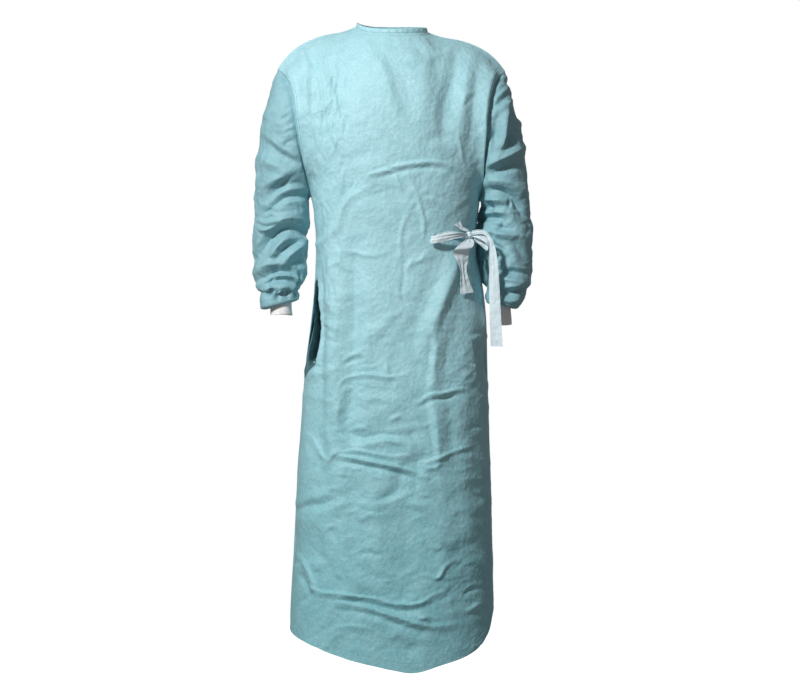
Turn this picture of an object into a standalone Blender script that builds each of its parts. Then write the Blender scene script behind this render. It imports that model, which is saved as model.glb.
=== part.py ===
"""A surgical gown as it hangs on its wearer, filled out and empty, in metres with +Z up.

The front faces -Y and the wearer's left is at +X. The origin lies between the shoulders, at the
base of the neck, where the wearer carries the gown. The cloth is cut and sewn as a wraparound
gown is: one front, two backs that lap over each other, two set-in sleeves with knitted cuffs, a
bound neck, and waist ties that end in a bow at the wearer's left.
"""

import math
from collections import namedtuple

import bpy
import numpy as np

# Cloth, seams and laps
CLOTH = 0.0016
KNIT = 0.0018
BINDING = 0.0022
TIE_CLOTH = 0.0012
SEAM_GAP = 0.0003
FLAP_LIFT = 0.0036

# Grid of the panels: columns across a panel, and rows below and above the armpits
PANEL_COLUMNS = 24
SHOULDER_COLUMNS = 5
SKIRT_ROWS = 20
YOKE_ROWS = 12
SLEEVE_RINGS = 18
UNDER_BACK_COLUMNS = 14
FLAP_COLUMNS = 11
FLAP_EDGE_NECK = 8
FLAP_EDGE_LOW = 5
SQUARENESS = 2.4

# Body: sections from the armpits to the hem
ARMPIT_Z = -0.355
Section = namedtuple("Section", "z right left front back")
BODY = [
    Section(-1.400, -0.2200, 0.2200, -0.192, 0.182),
    Section(-1.240, -0.2175, 0.2182, -0.184, 0.174),
    Section(-1.120, -0.2110, 0.2155, -0.176, 0.166),
    Section(-0.960, -0.2030, 0.2120, -0.165, 0.156),
    Section(-0.800, -0.1920, 0.2065, -0.154, 0.146),
    Section(-0.710, -0.1846, 0.2045, -0.147, 0.140),
    Section(-0.620, -0.1730, 0.2020, -0.141, 0.132),
    Section(-0.540, -0.1655, 0.1930, -0.137, 0.122),
    Section(-0.460, -0.1630, 0.1780, -0.134, 0.112),
    Section(-0.400, -0.1660, 0.1845, -0.138, 0.116),
    Section(-0.355, -0.1705, 0.1880, -0.140, 0.122),
]

# Height of the hem round the gown: 0 to 1 is the front, from the right seam to the left, and 1 to 2 the back
Hem = namedtuple("Hem", "round z")
HEM = [
    Hem(0.00, -1.277),
    Hem(0.26, -1.302),
    Hem(0.34, -1.316),
    Hem(0.47, -1.337),
    Hem(0.54, -1.350),
    Hem(0.63, -1.336),
    Hem(0.78, -1.311),
    Hem(0.87, -1.281),
    Hem(0.93, -1.248),
    Hem(1.00, -1.236),
    Hem(1.25, -1.240),
    Hem(1.50, -1.250),
    Hem(1.75, -1.262),
    Hem(2.00, -1.277),
]

# Armholes, from the armpit (share 0) to the shoulder's tip (share 1)
Armhole = namedtuple("Armhole", "share right left front back")
ARMHOLE = [
    Armhole(0.00, -0.1705, 0.1880, 0.000, 0.000),
    Armhole(0.10, -0.1745, 0.1900, -0.040, 0.040),
    Armhole(0.25, -0.1850, 0.1935, -0.068, 0.070),
    Armhole(0.45, -0.1970, 0.1990, -0.082, 0.086),
    Armhole(0.65, -0.2040, 0.2040, -0.080, 0.086),
    Armhole(0.82, -0.2140, 0.2130, -0.062, 0.068),
    Armhole(0.93, -0.2270, 0.2250, -0.036, 0.040),
    Armhole(1.00, -0.2450, 0.2425, 0.000, 0.000),
]

# Middle of the front and of the back, over the same height as the armholes
Middle = namedtuple("Middle", "share front back")
MIDDLE = [
    Middle(0.00, -0.140, 0.122),
    Middle(0.30, -0.141, 0.126),
    Middle(0.55, -0.135, 0.124),
    Middle(0.75, -0.119, 0.112),
    Middle(0.90, -0.095, 0.090),
    Middle(1.00, -0.068, 0.062),
]

# Shoulder line from the neck (share 0) to the tip (share 1), as a share of its whole drop
Shoulder = namedtuple("Shoulder", "share drop")
SHOULDER = [
    Shoulder(0.00, 0.00),
    Shoulder(0.15, 0.11),
    Shoulder(0.45, 0.23),
    Shoulder(0.65, 0.38),
    Shoulder(0.80, 0.56),
    Shoulder(0.92, 0.79),
    Shoulder(1.00, 1.00),
]
NECK_HALF = 0.077
NECK_RIGHT_Z = 0.007
NECK_LEFT_Z = -0.005
NECK_FRONT_Z = -0.018
NECK_BACK_Z = 0.006
TIP_RIGHT_Z = -0.083
TIP_LEFT_Z = -0.088
BAND_HEIGHT = 0.010
BAND_LEAN = 0.25

# Sleeves: the rails along the inner and outer arm, and the depth between front and back
Ring = namedtuple("Ring", "share inner_x inner_z outer_x outer_z middle_y half_depth")
RIGHT_SLEEVE = [
    Ring(0.00, 0.1705, -0.355, 0.2450, -0.083, 0.000, 0.084),
    Ring(0.08, 0.1775, -0.364, 0.2620, -0.134, 0.000, 0.082),
    Ring(0.18, 0.1785, -0.373, 0.2780, -0.195, 0.000, 0.077),
    Ring(0.30, 0.1770, -0.387, 0.2875, -0.275, 0.001, 0.071),
    Ring(0.42, 0.1765, -0.407, 0.2930, -0.345, 0.002, 0.066),
    Ring(0.54, 0.1765, -0.435, 0.2970, -0.408, 0.000, 0.063),
    Ring(0.66, 0.1780, -0.468, 0.2990, -0.460, -0.005, 0.061),
    Ring(0.78, 0.1810, -0.506, 0.2990, -0.508, -0.013, 0.058),
    Ring(0.88, 0.1865, -0.538, 0.2950, -0.539, -0.021, 0.052),
    Ring(0.94, 0.1960, -0.556, 0.2850, -0.560, -0.026, 0.045),
    Ring(0.96, 0.2030, -0.560, 0.2770, -0.564, -0.028, 0.039),
    Ring(0.98, 0.1985, -0.575, 0.2815, -0.581, -0.029, 0.041),
    Ring(1.00, 0.1985, -0.590, 0.2800, -0.600, -0.030, 0.040),
]
LEFT_SLEEVE = [
    Ring(0.00, 0.1880, -0.355, 0.2425, -0.088, 0.000, 0.084),
    Ring(0.08, 0.1905, -0.364, 0.2530, -0.128, 0.000, 0.082),
    Ring(0.18, 0.1920, -0.374, 0.2640, -0.182, 0.000, 0.077),
    Ring(0.30, 0.1925, -0.389, 0.2810, -0.245, 0.000, 0.071),
    Ring(0.42, 0.1925, -0.408, 0.2900, -0.310, 0.000, 0.066),
    Ring(0.54, 0.1925, -0.436, 0.2955, -0.372, -0.003, 0.063),
    Ring(0.66, 0.1940, -0.468, 0.2980, -0.435, -0.010, 0.061),
    Ring(0.78, 0.1980, -0.504, 0.2980, -0.495, -0.020, 0.058),
    Ring(0.88, 0.2040, -0.538, 0.2940, -0.540, -0.031, 0.053),
    Ring(0.94, 0.2035, -0.558, 0.2850, -0.568, -0.038, 0.049),
    Ring(0.97, 0.2005, -0.572, 0.2770, -0.585, -0.042, 0.046),
    Ring(1.00, 0.2005, -0.585, 0.2680, -0.598, -0.045, 0.042),
]
TURNED_RINGS = 3

# Knitted cuffs
Cuff = namedtuple("Cuff", "x y top bottom")
RIGHT_CUFF = Cuff(-0.235, -0.030, -0.572, -0.612)
LEFT_CUFF = Cuff(0.2300, -0.047, -0.570, -0.634)
CUFF_HALF_WIDTH = 0.0210
CUFF_HALF_DEPTH = 0.0290
CUFF_FLARE = 0.0026

# Largest folds of the cloth, as lines on its face seen from the front or back: height is out from the cloth
Fold = namedtuple("Fold", "from_x from_z to_x to_z bend width height")
FRONT_FOLDS = [
    Fold(-0.055, -0.040, 0.020, -0.205, -0.008, 0.014, 0.006),
    Fold(0.020, -0.060, 0.040, -0.200, 0.004, 0.015, -0.005),
    Fold(0.202, -0.060, 0.196, -0.310, 0.000, 0.014, 0.006),
    Fold(0.130, -0.060, 0.112, -0.275, 0.004, 0.017, -0.004),
    Fold(-0.176, -0.085, -0.145, -0.350, 0.006, 0.011, 0.005),
    Fold(-0.196, -0.080, -0.188, -0.190, 0.000, 0.010, -0.004),
    Fold(-0.154, -0.120, -0.135, -0.270, 0.000, 0.010, -0.004),
    Fold(-0.040, -0.315, 0.160, -0.310, -0.016, 0.010, 0.003),
    Fold(0.132, -0.500, 0.080, -0.660, 0.006, 0.016, 0.008),
    Fold(0.080, -0.660, 0.098, -0.930, 0.000, 0.018, 0.007),
    Fold(0.150, -0.510, 0.120, -0.790, 0.000, 0.014, -0.006),
    Fold(-0.128, -0.380, -0.112, -0.930, 0.006, 0.024, 0.006),
    Fold(-0.150, -0.700, -0.128, -1.120, 0.000, 0.018, -0.006),
    Fold(-0.085, -0.900, 0.080, -0.950, -0.008, 0.012, 0.005),
    Fold(0.165, -0.600, 0.172, -1.200, 0.000, 0.022, -0.005),
    Fold(-0.120, -1.195, 0.080, -1.240, -0.010, 0.013, 0.006),
    Fold(0.010, -0.370, -0.010, -0.580, 0.008, 0.013, 0.004),
]
BACK_FOLDS = [
    Fold(-0.090, -0.060, -0.150, -0.330, 0.010, 0.016, -0.006),
    Fold(0.085, -0.060, 0.145, -0.330, -0.010, 0.016, -0.006),
    Fold(-0.030, -0.140, -0.045, -0.420, 0.000, 0.022, 0.005),
    Fold(-0.125, -0.420, -0.150, -1.180, 0.006, 0.022, -0.009),
    Fold(-0.080, -0.440, -0.095, -1.240, 0.000, 0.024, 0.009),
    Fold(-0.035, -0.430, -0.040, -1.240, 0.004, 0.022, -0.009),
    Fold(0.015, -0.440, 0.020, -1.240, 0.000, 0.024, 0.009),
    Fold(0.065, -0.430, 0.080, -1.180, 0.004, 0.022, -0.008),
    Fold(0.115, -0.460, 0.140, -1.100, 0.000, 0.022, 0.007),
]
RIGHT_SLEEVE_FOLDS = [
    Fold(-0.277, -0.210, -0.190, -0.292, -0.014, 0.011, -0.007),
    Fold(-0.268, -0.345, -0.190, -0.300, 0.010, 0.012, -0.008),
    Fold(-0.262, -0.315, -0.200, -0.325, 0.000, 0.012, 0.005),
    Fold(-0.268, -0.396, -0.180, -0.358, 0.012, 0.011, -0.010),
    Fold(-0.280, -0.420, -0.200, -0.395, 0.010, 0.012, 0.006),
    Fold(-0.292, -0.496, -0.228, -0.430, 0.010, 0.012, -0.009),
    Fold(-0.228, -0.430, -0.176, -0.444, 0.004, 0.011, -0.009),
    Fold(-0.255, -0.488, -0.215, -0.440, 0.000, 0.011, 0.006),
    Fold(-0.232, -0.505, -0.182, -0.466, 0.000, 0.011, 0.006),
    Fold(-0.288, -0.540, -0.200, -0.527, 0.010, 0.010, -0.008),
]
LEFT_SLEEVE_FOLDS = [
    Fold(0.214, -0.150, 0.242, -0.130, 0.000, 0.009, -0.006),
    Fold(0.212, -0.185, 0.240, -0.160, 0.000, 0.010, 0.006),
    Fold(0.205, -0.235, 0.228, -0.215, 0.000, 0.016, -0.012),
    Fold(0.205, -0.272, 0.260, -0.232, 0.010, 0.011, 0.008),
    Fold(0.205, -0.300, 0.250, -0.272, 0.006, 0.010, -0.007),
    Fold(0.200, -0.345, 0.284, -0.405, -0.016, 0.013, -0.010),
    Fold(0.200, -0.378, 0.250, -0.378, 0.000, 0.014, 0.006),
    Fold(0.200, -0.412, 0.262, -0.420, -0.006, 0.010, -0.007),
    Fold(0.215, -0.515, 0.290, -0.522, -0.006, 0.012, -0.009),
    Fold(0.215, -0.548, 0.262, -0.560, 0.000, 0.010, 0.005),
]
SLEEVE_BACK_FOLDS = [
    Fold(0.205, -0.200, 0.262, -0.240, 0.008, 0.013, -0.007),
    Fold(0.200, -0.290, 0.280, -0.320, 0.008, 0.013, -0.008),
    Fold(0.196, -0.380, 0.285, -0.405, 0.010, 0.013, -0.009),
    Fold(0.200, -0.450, 0.285, -0.455, 0.010, 0.013, 0.007),
    Fold(0.200, -0.500, 0.282, -0.510, -0.006, 0.012, -0.008),
]

# Waist ties and bow at the wearer's left
TIE_WIDTH = 0.025
TIE_THROAT = 0.008
KNOT_X = 0.155
KNOT_Z = -0.445
KNOT_OUT = 0.0090
KNOT_SIZE = (0.0085, 0.0085, 0.0078)
STRAP_START = 1.215
STRAP_END = 0.855
STRAP_Z = -0.455
STRAP_STATIONS = 16

# Stations along each tie from the knot's centre
OnCloth = namedtuple("OnCloth", "x z lift width")
Free = namedtuple("Free", "x y z width turn")
LEFT_LOOP = [
    OnCloth(-0.0050, 0.0006, 0.0094, TIE_THROAT),
    OnCloth(-0.0300, -0.0010, 0.0150, 0.016),
    OnCloth(-0.0560, -0.0060, 0.0150, 0.022),
    OnCloth(-0.0740, -0.0110, 0.0130, 0.021),
    OnCloth(-0.0790, -0.0130, 0.0080, 0.020),
    OnCloth(-0.0720, -0.0130, 0.0030, 0.020),
    OnCloth(-0.0520, -0.0090, 0.0020, 0.019),
    OnCloth(-0.0300, -0.0050, 0.0035, 0.014),
    OnCloth(-0.0100, -0.0020, 0.0060, TIE_THROAT),
]
SHORT_END = [
    OnCloth(-0.0015, -0.0088, 0.0100, TIE_THROAT),
    OnCloth(-0.0130, -0.0240, 0.0160, 0.024),
    OnCloth(-0.0200, -0.0370, 0.0140, TIE_WIDTH),
    OnCloth(-0.0140, -0.0540, 0.0060, 0.020),
    OnCloth(-0.0100, -0.0780, 0.0045, 0.014),
    OnCloth(-0.0075, -0.1000, 0.0040, 0.017),
    OnCloth(-0.0030, -0.1270, 0.0050, 0.023),
]
TIE_ROOT = [
    OnCloth(-0.0190, 0.0240, 0.0013, 0.015),
    OnCloth(-0.0130, 0.0165, 0.0025, 0.010),
    OnCloth(-0.0020, 0.0088, 0.0080, 0.007),
]
RIGHT_LOOP = [
    Free(0.0086, -0.0026, 0.0000, TIE_THROAT, 0.1),
    Free(0.0200, -0.0070, -0.0010, 0.014, 0.0),
    Free(0.0340, -0.0100, -0.0060, 0.020, -0.1),
    Free(0.0420, -0.0060, -0.0110, 0.022, -0.1),
    Free(0.0380, 0.0010, -0.0130, 0.021, -0.1),
    Free(0.0240, 0.0030, -0.0080, 0.014, 0.0),
    Free(0.0094, 0.0020, -0.0030, TIE_THROAT, 0.1),
]
LONG_END = [
    Free(0.0059, -0.0061, 0.0043, TIE_THROAT, -0.2),
    Free(0.0260, -0.0150, 0.0080, 0.014, 0.2),
    Free(0.0400, -0.0190, 0.0030, 0.016, 0.7),
    Free(0.0480, -0.0200, -0.0120, 0.017, 1.2),
    Free(0.0530, -0.0190, -0.0600, 0.018, 1.5),
    Free(0.0570, -0.0180, -0.1250, 0.021, 1.6),
    Free(0.0610, -0.0180, -0.1900, TIE_WIDTH, 1.6),
    Free(0.0630, -0.0180, -0.2400, TIE_WIDTH, 1.6),
]

# Colours
TEAL = (0.36, 0.60, 0.64, 1.0)
PALE_TEAL = (0.55, 0.72, 0.78, 1.0)
WHITE = (0.86, 0.85, 0.84, 1.0)


def clear_scene():
    for thing in list(bpy.data.objects):
        bpy.data.objects.remove(thing)


def read(rows, column, places):
    """A table's column at each place, on a smooth curve through the rows."""
    knots = np.array([row[0] for row in rows])
    values = np.array([getattr(row, column) for row in rows])
    steps = np.diff(values) / np.diff(knots)
    slopes = np.concatenate([steps[:1], (steps[:-1] + steps[1:]) / 2, steps[-1:]])
    places = np.clip(places, knots[0], knots[-1])
    low = np.clip(np.searchsorted(knots, places, side="right") - 1, 0, len(knots) - 2)
    span = knots[low + 1] - knots[low]
    t = (places - knots[low]) / span
    rise = values[low + 1] - values[low]
    start, end = slopes[low] * span, slopes[low + 1] * span
    return values[low] + t * start + t * t * (3 * rise - 2 * start - end) + t**3 * (start + end - 2 * rise)


def smooth(t):
    t = np.clip(t, 0.0, 1.0)
    return t * t * (3 - 2 * t)


def mix(a, b, share):
    return a + (b - a) * share


def squared(value):
    """A sine or cosine made squarer, which turns an ellipse into the fuller section of worn cloth."""
    return np.sign(value) * np.abs(value) ** (2 / SQUARENESS)


def unit(vectors):
    return vectors / np.maximum(np.linalg.norm(vectors, axis=-1, keepdims=True), 1e-12)


def relief(x, z, folds):
    """How far the folds move the cloth out, at places seen from the front or back."""
    total = np.zeros(np.broadcast(x, z).shape)
    for fold in folds:
        run_x, run_z = fold.to_x - fold.from_x, fold.to_z - fold.from_z
        length = math.hypot(run_x, run_z)
        along = ((x - fold.from_x) * run_x + (z - fold.from_z) * run_z) / length**2
        inside = np.clip(along, 0.0, 1.0)
        aside = ((x - fold.from_x) * -run_z + (z - fold.from_z) * run_x) / length
        aside = aside - fold.bend * 4 * inside * (1 - inside)
        beyond = (along - inside) * length
        fade = 0.45 + 0.55 * np.sin(math.pi * inside)
        total = total + fold.height * fade * np.exp(-(aside**2 + beyond**2) / fold.width**2)
    return total


def shoulder_line(turn):
    """The top edges of the front and back: the shoulder seams, and the neckline between them."""
    panel = np.mod(turn, 1.0) + (turn == 1.0) + (turn == 2.0)
    panel = np.where(turn > 1.0, 1.0 - (turn - 1.0), panel)
    edge = SHOULDER_COLUMNS / PANEL_COLUMNS
    on_right = panel < 0.5
    from_tip = np.minimum(panel, 1.0 - panel) / edge
    share = np.clip(1.0 - from_tip, 0.0, 1.0)
    tip = np.where(on_right, -ARMHOLE[-1].right, ARMHOLE[-1].left)
    neck_z = np.where(on_right, NECK_RIGHT_Z, NECK_LEFT_Z)
    tip_z = np.where(on_right, TIP_RIGHT_Z, TIP_LEFT_Z)
    across = (panel - edge) / (1.0 - 2 * edge)
    swing = np.sin(math.pi * np.clip(across, 0.0, 1.0))
    is_front = turn <= 1.0
    shoulder_x = np.where(on_right, -1.0, 1.0) * mix(NECK_HALF, tip, share)
    neck_x = -NECK_HALF * np.cos(math.pi * across)
    shoulder_z = mix(neck_z, tip_z, read(SHOULDER, "drop", share))
    side_z = mix(NECK_RIGHT_Z, NECK_LEFT_Z, smooth(across))
    low_z = np.where(is_front, NECK_FRONT_Z, NECK_BACK_Z)
    neck_line_z = mix(side_z, low_z, swing)
    on_shoulder = from_tip < 1.0
    return (
        np.where(on_shoulder, shoulder_x, neck_x),
        np.where(on_shoulder, 0.0, swing),
        np.where(on_shoulder, shoulder_z, neck_line_z),
    )


def plain_body(turn, rise, panel):
    """The body without its folds. Turn is 0 to 1 over the front and 1 to 2 over the back; rise is 0 to 1 up to
    the armpits and 1 to 2 up to the shoulders. Panel is 0 for the front and 1 for the back."""
    turn, rise = np.broadcast_arrays(turn, rise)
    around = np.mod(turn + 2.0, 2.0)
    around = np.where((turn == 2.0), 2.0, around)
    wide, deep = squared(-np.cos(math.pi * around)), squared(np.sin(math.pi * around))
    is_front = np.where(around == 1.0, panel == 0, around < 1.0)

    low = np.clip(rise, 0.0, 1.0)
    z = mix(read(HEM, "z", around), ARMPIT_Z, low)
    right, left = read(BODY, "right", z), read(BODY, "left", z)
    depth = np.where(is_front, -read(BODY, "front", z), read(BODY, "back", z))
    lower = np.stack([(left + right) / 2 + (left - right) / 2 * wide, -depth * deep, z], axis=-1)

    share = yoke_share(np.clip(rise - 1.0, 0.0, 1.0))
    top_x, top_deep, top_z = shoulder_line(around)
    right, left = read(ARMHOLE, "right", share), read(ARMHOLE, "left", share)
    tip_half = (ARMHOLE[-1].left - ARMHOLE[-1].right) / 2
    tip_middle = (ARMHOLE[-1].left + ARMHOLE[-1].right) / 2
    end = np.where(is_front, read(ARMHOLE, "front", share), read(ARMHOLE, "back", share))
    middle = np.where(is_front, read(MIDDLE, "front", share), read(MIDDLE, "back", share))
    start = end / middle
    along = mix(start, 1.0, np.abs(deep)) ** SQUARENESS
    arc = np.sign(wide) * (np.maximum(1 - along, 0.0) / (1 - start**SQUARENESS)) ** (1 / SQUARENESS)
    wide = mix(arc, (top_x - tip_middle) / tip_half, share**1.5)
    fullness = mix(np.abs(deep), top_deep, share**2.5)
    upper = np.stack(
        [(left + right) / 2 + (left - right) / 2 * wide, mix(end, middle, fullness), mix(ARMPIT_Z, top_z, share)],
        axis=-1,
    )
    return np.where((rise <= 1.0)[..., None], lower, upper)


def yoke_share(t):
    """Rows of the yoke are closer together at the armpit and at the shoulder, as the armhole is round."""
    return mix(t, (1 - np.cos(math.pi * t)) / 2, 0.6)


def normals_of(surface, turn, rise, panel):
    """Outward normals, from the surface's own slopes. Above the armpits a panel ends at the armhole."""
    step = 0.008
    above = rise > 1.0
    before = np.where(above, np.maximum(turn - step, panel), turn - step)
    after = np.where(above, np.minimum(turn + step, panel + 1.0), turn + step)
    down, up = np.maximum(rise - step, 0.0), np.minimum(rise + step, 2.0)
    return unit(np.cross(surface(after, rise) - surface(before, rise), surface(turn, up) - surface(turn, down)))


def body_surface(panel):
    """The outer face of the front (panel 0) or of the back (panel 1), with its folds."""

    def unfolded(turn, rise):
        return plain_body(turn, rise, panel)

    def surface(turn, rise):
        turn, rise = np.broadcast_arrays(turn, rise)
        plain = unfolded(turn, rise)
        out = normals_of(unfolded, turn, rise, panel)
        facing = np.sin(math.pi * turn)
        front = smooth(facing * 4 - 0.4) * relief(plain[..., 0], plain[..., 2], FRONT_FOLDS)
        back = smooth(-facing * 4 - 0.4) * relief(plain[..., 0], plain[..., 2], BACK_FOLDS)
        return plain + out * (smooth((2.0 - rise) * 4) * (front + back))[..., None]

    return surface


def armhole(side, turn):
    """The armhole's ring: turn 0 is the armpit, 1 the shoulder's tip, and the front lies between them."""
    t = np.where(turn <= 1.0, turn, 2.0 - turn)
    share = yoke_share(t)
    tip_z = TIP_RIGHT_Z if side < 0 else TIP_LEFT_Z
    x = read(ARMHOLE, "right" if side < 0 else "left", share)
    y = np.where(turn <= 1.0, read(ARMHOLE, "front", share), read(ARMHOLE, "back", share))
    return np.stack([x, y, mix(ARMPIT_Z, tip_z, share)], axis=-1)


def sleeve_surface(side):
    """The outer face of a sleeve. Turn goes round from the inner arm over the front; share goes down the arm."""
    rows = RIGHT_SLEEVE if side < 0 else LEFT_SLEEVE
    folds = RIGHT_SLEEVE_FOLDS if side < 0 else LEFT_SLEEVE_FOLDS
    back_folds = [f._replace(from_x=side * f.from_x, to_x=side * f.to_x, bend=side * f.bend) for f in SLEEVE_BACK_FOLDS]
    cuff = RIGHT_CUFF if side < 0 else LEFT_CUFF

    def plain(turn, share):
        turn, share = np.broadcast_arrays(turn, share)
        around = np.mod(turn + 2.0, 2.0)
        cosine, sine = np.cos(math.pi * around), np.sin(math.pi * around)
        down = np.clip(share, 0.0, 1.0)
        inner_x, outer_x = read(rows, "inner_x", down), read(rows, "outer_x", down)
        inner_z, outer_z = read(rows, "inner_z", down), read(rows, "outer_z", down)
        tube = np.stack(
            [
                side * ((inner_x + outer_x) / 2 - (outer_x - inner_x) / 2 * cosine),
                read(rows, "middle_y", down) - read(rows, "half_depth", down) * sine,
                (inner_z + outer_z) / 2 - (outer_z - inner_z) / 2 * cosine,
            ],
            axis=-1,
        )
        tube = mix(armhole(side, around), tube, smooth(down / 0.10)[..., None])
        reach = 2 * SEAM_GAP
        wrist = np.stack(
            [
                cuff.x - side * (CUFF_HALF_WIDTH + reach) * cosine,
                cuff.y - (CUFF_HALF_DEPTH + reach) * sine,
                np.full(around.shape, cuff.top - 0.001),
            ],
            axis=-1,
        )
        turned = np.clip(share - 1.0, 0.0, 1.0)
        inward = np.sin(math.pi / 2 * turned)
        end = mix(tube, wrist, np.stack([inward, inward, turned**2], axis=-1))
        end[..., 2] -= 0.005 * np.sin(math.pi * turned)
        return end

    def surface(turn, share):
        turn, share = np.broadcast_arrays(turn, share)
        point = plain(turn, share)
        out = sleeve_normals(plain, side, turn, share)
        facing = np.sin(math.pi * turn)
        keep = smooth(share / 0.1) * smooth((0.98 - share) / 0.05)
        front = smooth(facing * 3) * relief(point[..., 0], point[..., 2], folds)
        back = smooth(-facing * 3) * relief(point[..., 0], point[..., 2], back_folds)
        return point + out * (keep * (front + back))[..., None]

    return surface


def sleeve_normals(surface, side, turn, share):
    step = 1e-4
    before, after = np.maximum(share - step, 0.0), np.minimum(share + step, 2.0)
    slope = surface(turn, after) - surface(turn, before)
    return -side * unit(np.cross(surface(turn + step, share) - surface(turn - step, share), slope))


def armhole_normals(side, turn):
    """Which way the cloth faces round an armhole: down at the armpit, up and outward at the shoulder."""
    share = yoke_share(np.where(turn <= 1.0, turn, 2.0 - turn))
    lean = np.interp(share, (0.0, 0.15, 0.5, 1.0), (0.0, 0.5, 1.2, 0.8))
    deep = np.sqrt(1.0 - (2 * share - 1) ** 2) * np.where(turn <= 1.0, -1.0, 1.0)
    return unit(np.stack([side * lean, deep, 2 * share - 1], axis=-1))


def sewn(pieces):
    """Gives the edges that are sewn together one direction for the thickness of both."""
    sums = {}
    for points, normals in pieces:
        for place, normal in zip(points.reshape(-1, 3), normals.reshape(-1, 3)):
            key = tuple(np.round(place, 5))
            sums[key] = sums.get(key, np.zeros(3)) + normal
    for side in (-1, 1):
        turns = np.linspace(0, 2, 2 * YOKE_ROWS + 1)[:-1]
        for place, normal in zip(armhole(side, turns), armhole_normals(side, turns)):
            sums[tuple(np.round(place, 5))] = normal
    for points, normals in pieces:
        flat = normals.reshape(-1, 3)
        for i, place in enumerate(points.reshape(-1, 3)):
            flat[i] = unit(sums[tuple(np.round(place, 5))])


def panel_drawn_in(points):
    """A panel with its edges drawn in by half the seam gap. At an armhole they go towards the body's middle."""
    half = SEAM_GAP / 2
    moved = points.copy()
    moved[0] += unit(points[1] - points[0]) * half
    moved[-1] += unit(points[-2] - points[-1]) * half
    for edge, beside in ((0, 1), (-1, -2)):
        inward = points[:, beside] - points[:, edge]
        inward[SKIRT_ROWS:, 1:] = 0.0
        moved[:, edge] += unit(inward) * half
    return moved


def sleeve_drawn_in(points, side):
    """A sleeve with its armhole's edge moved half the seam gap away from the body."""
    moved = points.copy()
    moved[0, :, 0] += side * SEAM_GAP / 2
    return moved


def material(name, colour, roughness):
    made = bpy.data.materials.new(name)
    made.use_nodes = True
    shader = made.node_tree.nodes["Principled BSDF"]
    shader.inputs["Base Color"].default_value = colour
    shader.inputs["Roughness"].default_value = roughness
    shader.inputs["Metallic"].default_value = 0.0
    return made


def add_object(name, points, faces, finish):
    mesh = bpy.data.meshes.new(name)
    mesh.from_pydata([tuple(p) for p in points], [], faces)
    mesh.materials.append(finish)
    mesh.shade_smooth()
    mesh.validate()
    made = bpy.data.objects.new(name, mesh)
    bpy.context.scene.collection.objects.link(made)
    return made


def wall(name, outer, normals, thickness, finish, tube=False):
    """A wall of cloth: the grid of its outer face, the same grid moved in, and the rims that join them."""
    rows, columns = outer.shape[:2]
    inner = outer - normals * thickness
    count = rows * columns
    around = columns if tube else columns - 1
    faces = []

    def index(i, j, layer):
        return layer * count + i * columns + j % columns

    for i in range(rows - 1):
        for j in range(around):
            a, b = index(i, j, 0), index(i, j + 1, 0)
            c, d = index(i + 1, j + 1, 0), index(i + 1, j, 0)
            faces += [(a, b, c), (a, c, d)]
            faces += [(a + count, c + count, b + count), (a + count, d + count, c + count)]

    def rim(i0, j0, i1, j1):
        a, b = index(i0, j0, 0), index(i1, j1, 0)
        faces.extend([(b, a, a + count), (b, a + count, b + count)])

    for j in range(around):
        rim(0, j, 0, j + 1)
        rim(rows - 1, j + 1, rows - 1, j)
    if not tube:
        for i in range(rows - 1):
            rim(i + 1, 0, i, 0)
            rim(i, columns - 1, i + 1, columns - 1)
    i, j = rows // 2, columns // 2
    facing = np.cross(outer[i, j] - outer[i - 1, j - 1], outer[i, j - 1] - outer[i - 1, j])
    if np.dot(facing, normals[i, j]) < 0:
        faces = [face[::-1] for face in faces]
    points = np.concatenate([outer.reshape(-1, 3), inner.reshape(-1, 3)])
    return add_object(name, points, faces, finish)


def panels(finish):
    """The front, the two backs and the sleeves, sewn along the sides, the shoulders and the armholes."""
    rise = np.concatenate([np.linspace(0, 1, SKIRT_ROWS + 1), 1 + np.linspace(0, 1, YOKE_ROWS + 1)[1:]])[:, None]
    columns = np.linspace(0, 1, PANEL_COLUMNS + 1)[None, :]
    front = body_surface(0)
    back = body_surface(1)
    front_points = front(columns, rise)
    front_normals = normals_of(front, columns, rise, 0)
    back_points = back(columns + 1, rise)
    back_normals = normals_of(back, columns + 1, rise, 1)

    ring = np.linspace(0, 2, 2 * YOKE_ROWS + 1)[None, :-1]
    shares = np.linspace(0, 0.94, SLEEVE_RINGS)
    shares = np.concatenate([shares, (0.96, 0.98, 1.0), 1 + np.linspace(0, 1, TURNED_RINGS + 1)[1:]])[:, None]
    sleeves = {}
    for name, side in (("sleeve_right", -1), ("sleeve_left", 1)):
        surface = sleeve_surface(side)
        points = surface(ring, shares)
        sleeves[name] = (points, sleeve_normals(surface, side, ring, shares))

    sewn([(front_points, front_normals), (back_points, back_normals), *sleeves.values()])

    wall("front", panel_drawn_in(front_points), front_normals, CLOTH, finish)
    under = slice(0, UNDER_BACK_COLUMNS + 1)
    wall("back_left", panel_drawn_in(back_points[:, under]), back_normals[:, under], CLOTH, finish)
    lapped, lapped_normals = over_back(back, rise, back_points, back_normals)
    wall("back_right", panel_drawn_in(lapped), lapped_normals, CLOTH, finish)
    for name, (points, normals) in sleeves.items():
        wall(name, sleeve_drawn_in(points, math.copysign(1, points[0, 0, 0])), normals, CLOTH, finish, tube=True)
    return (front_points, front_normals), (back_points, back_normals)


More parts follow.
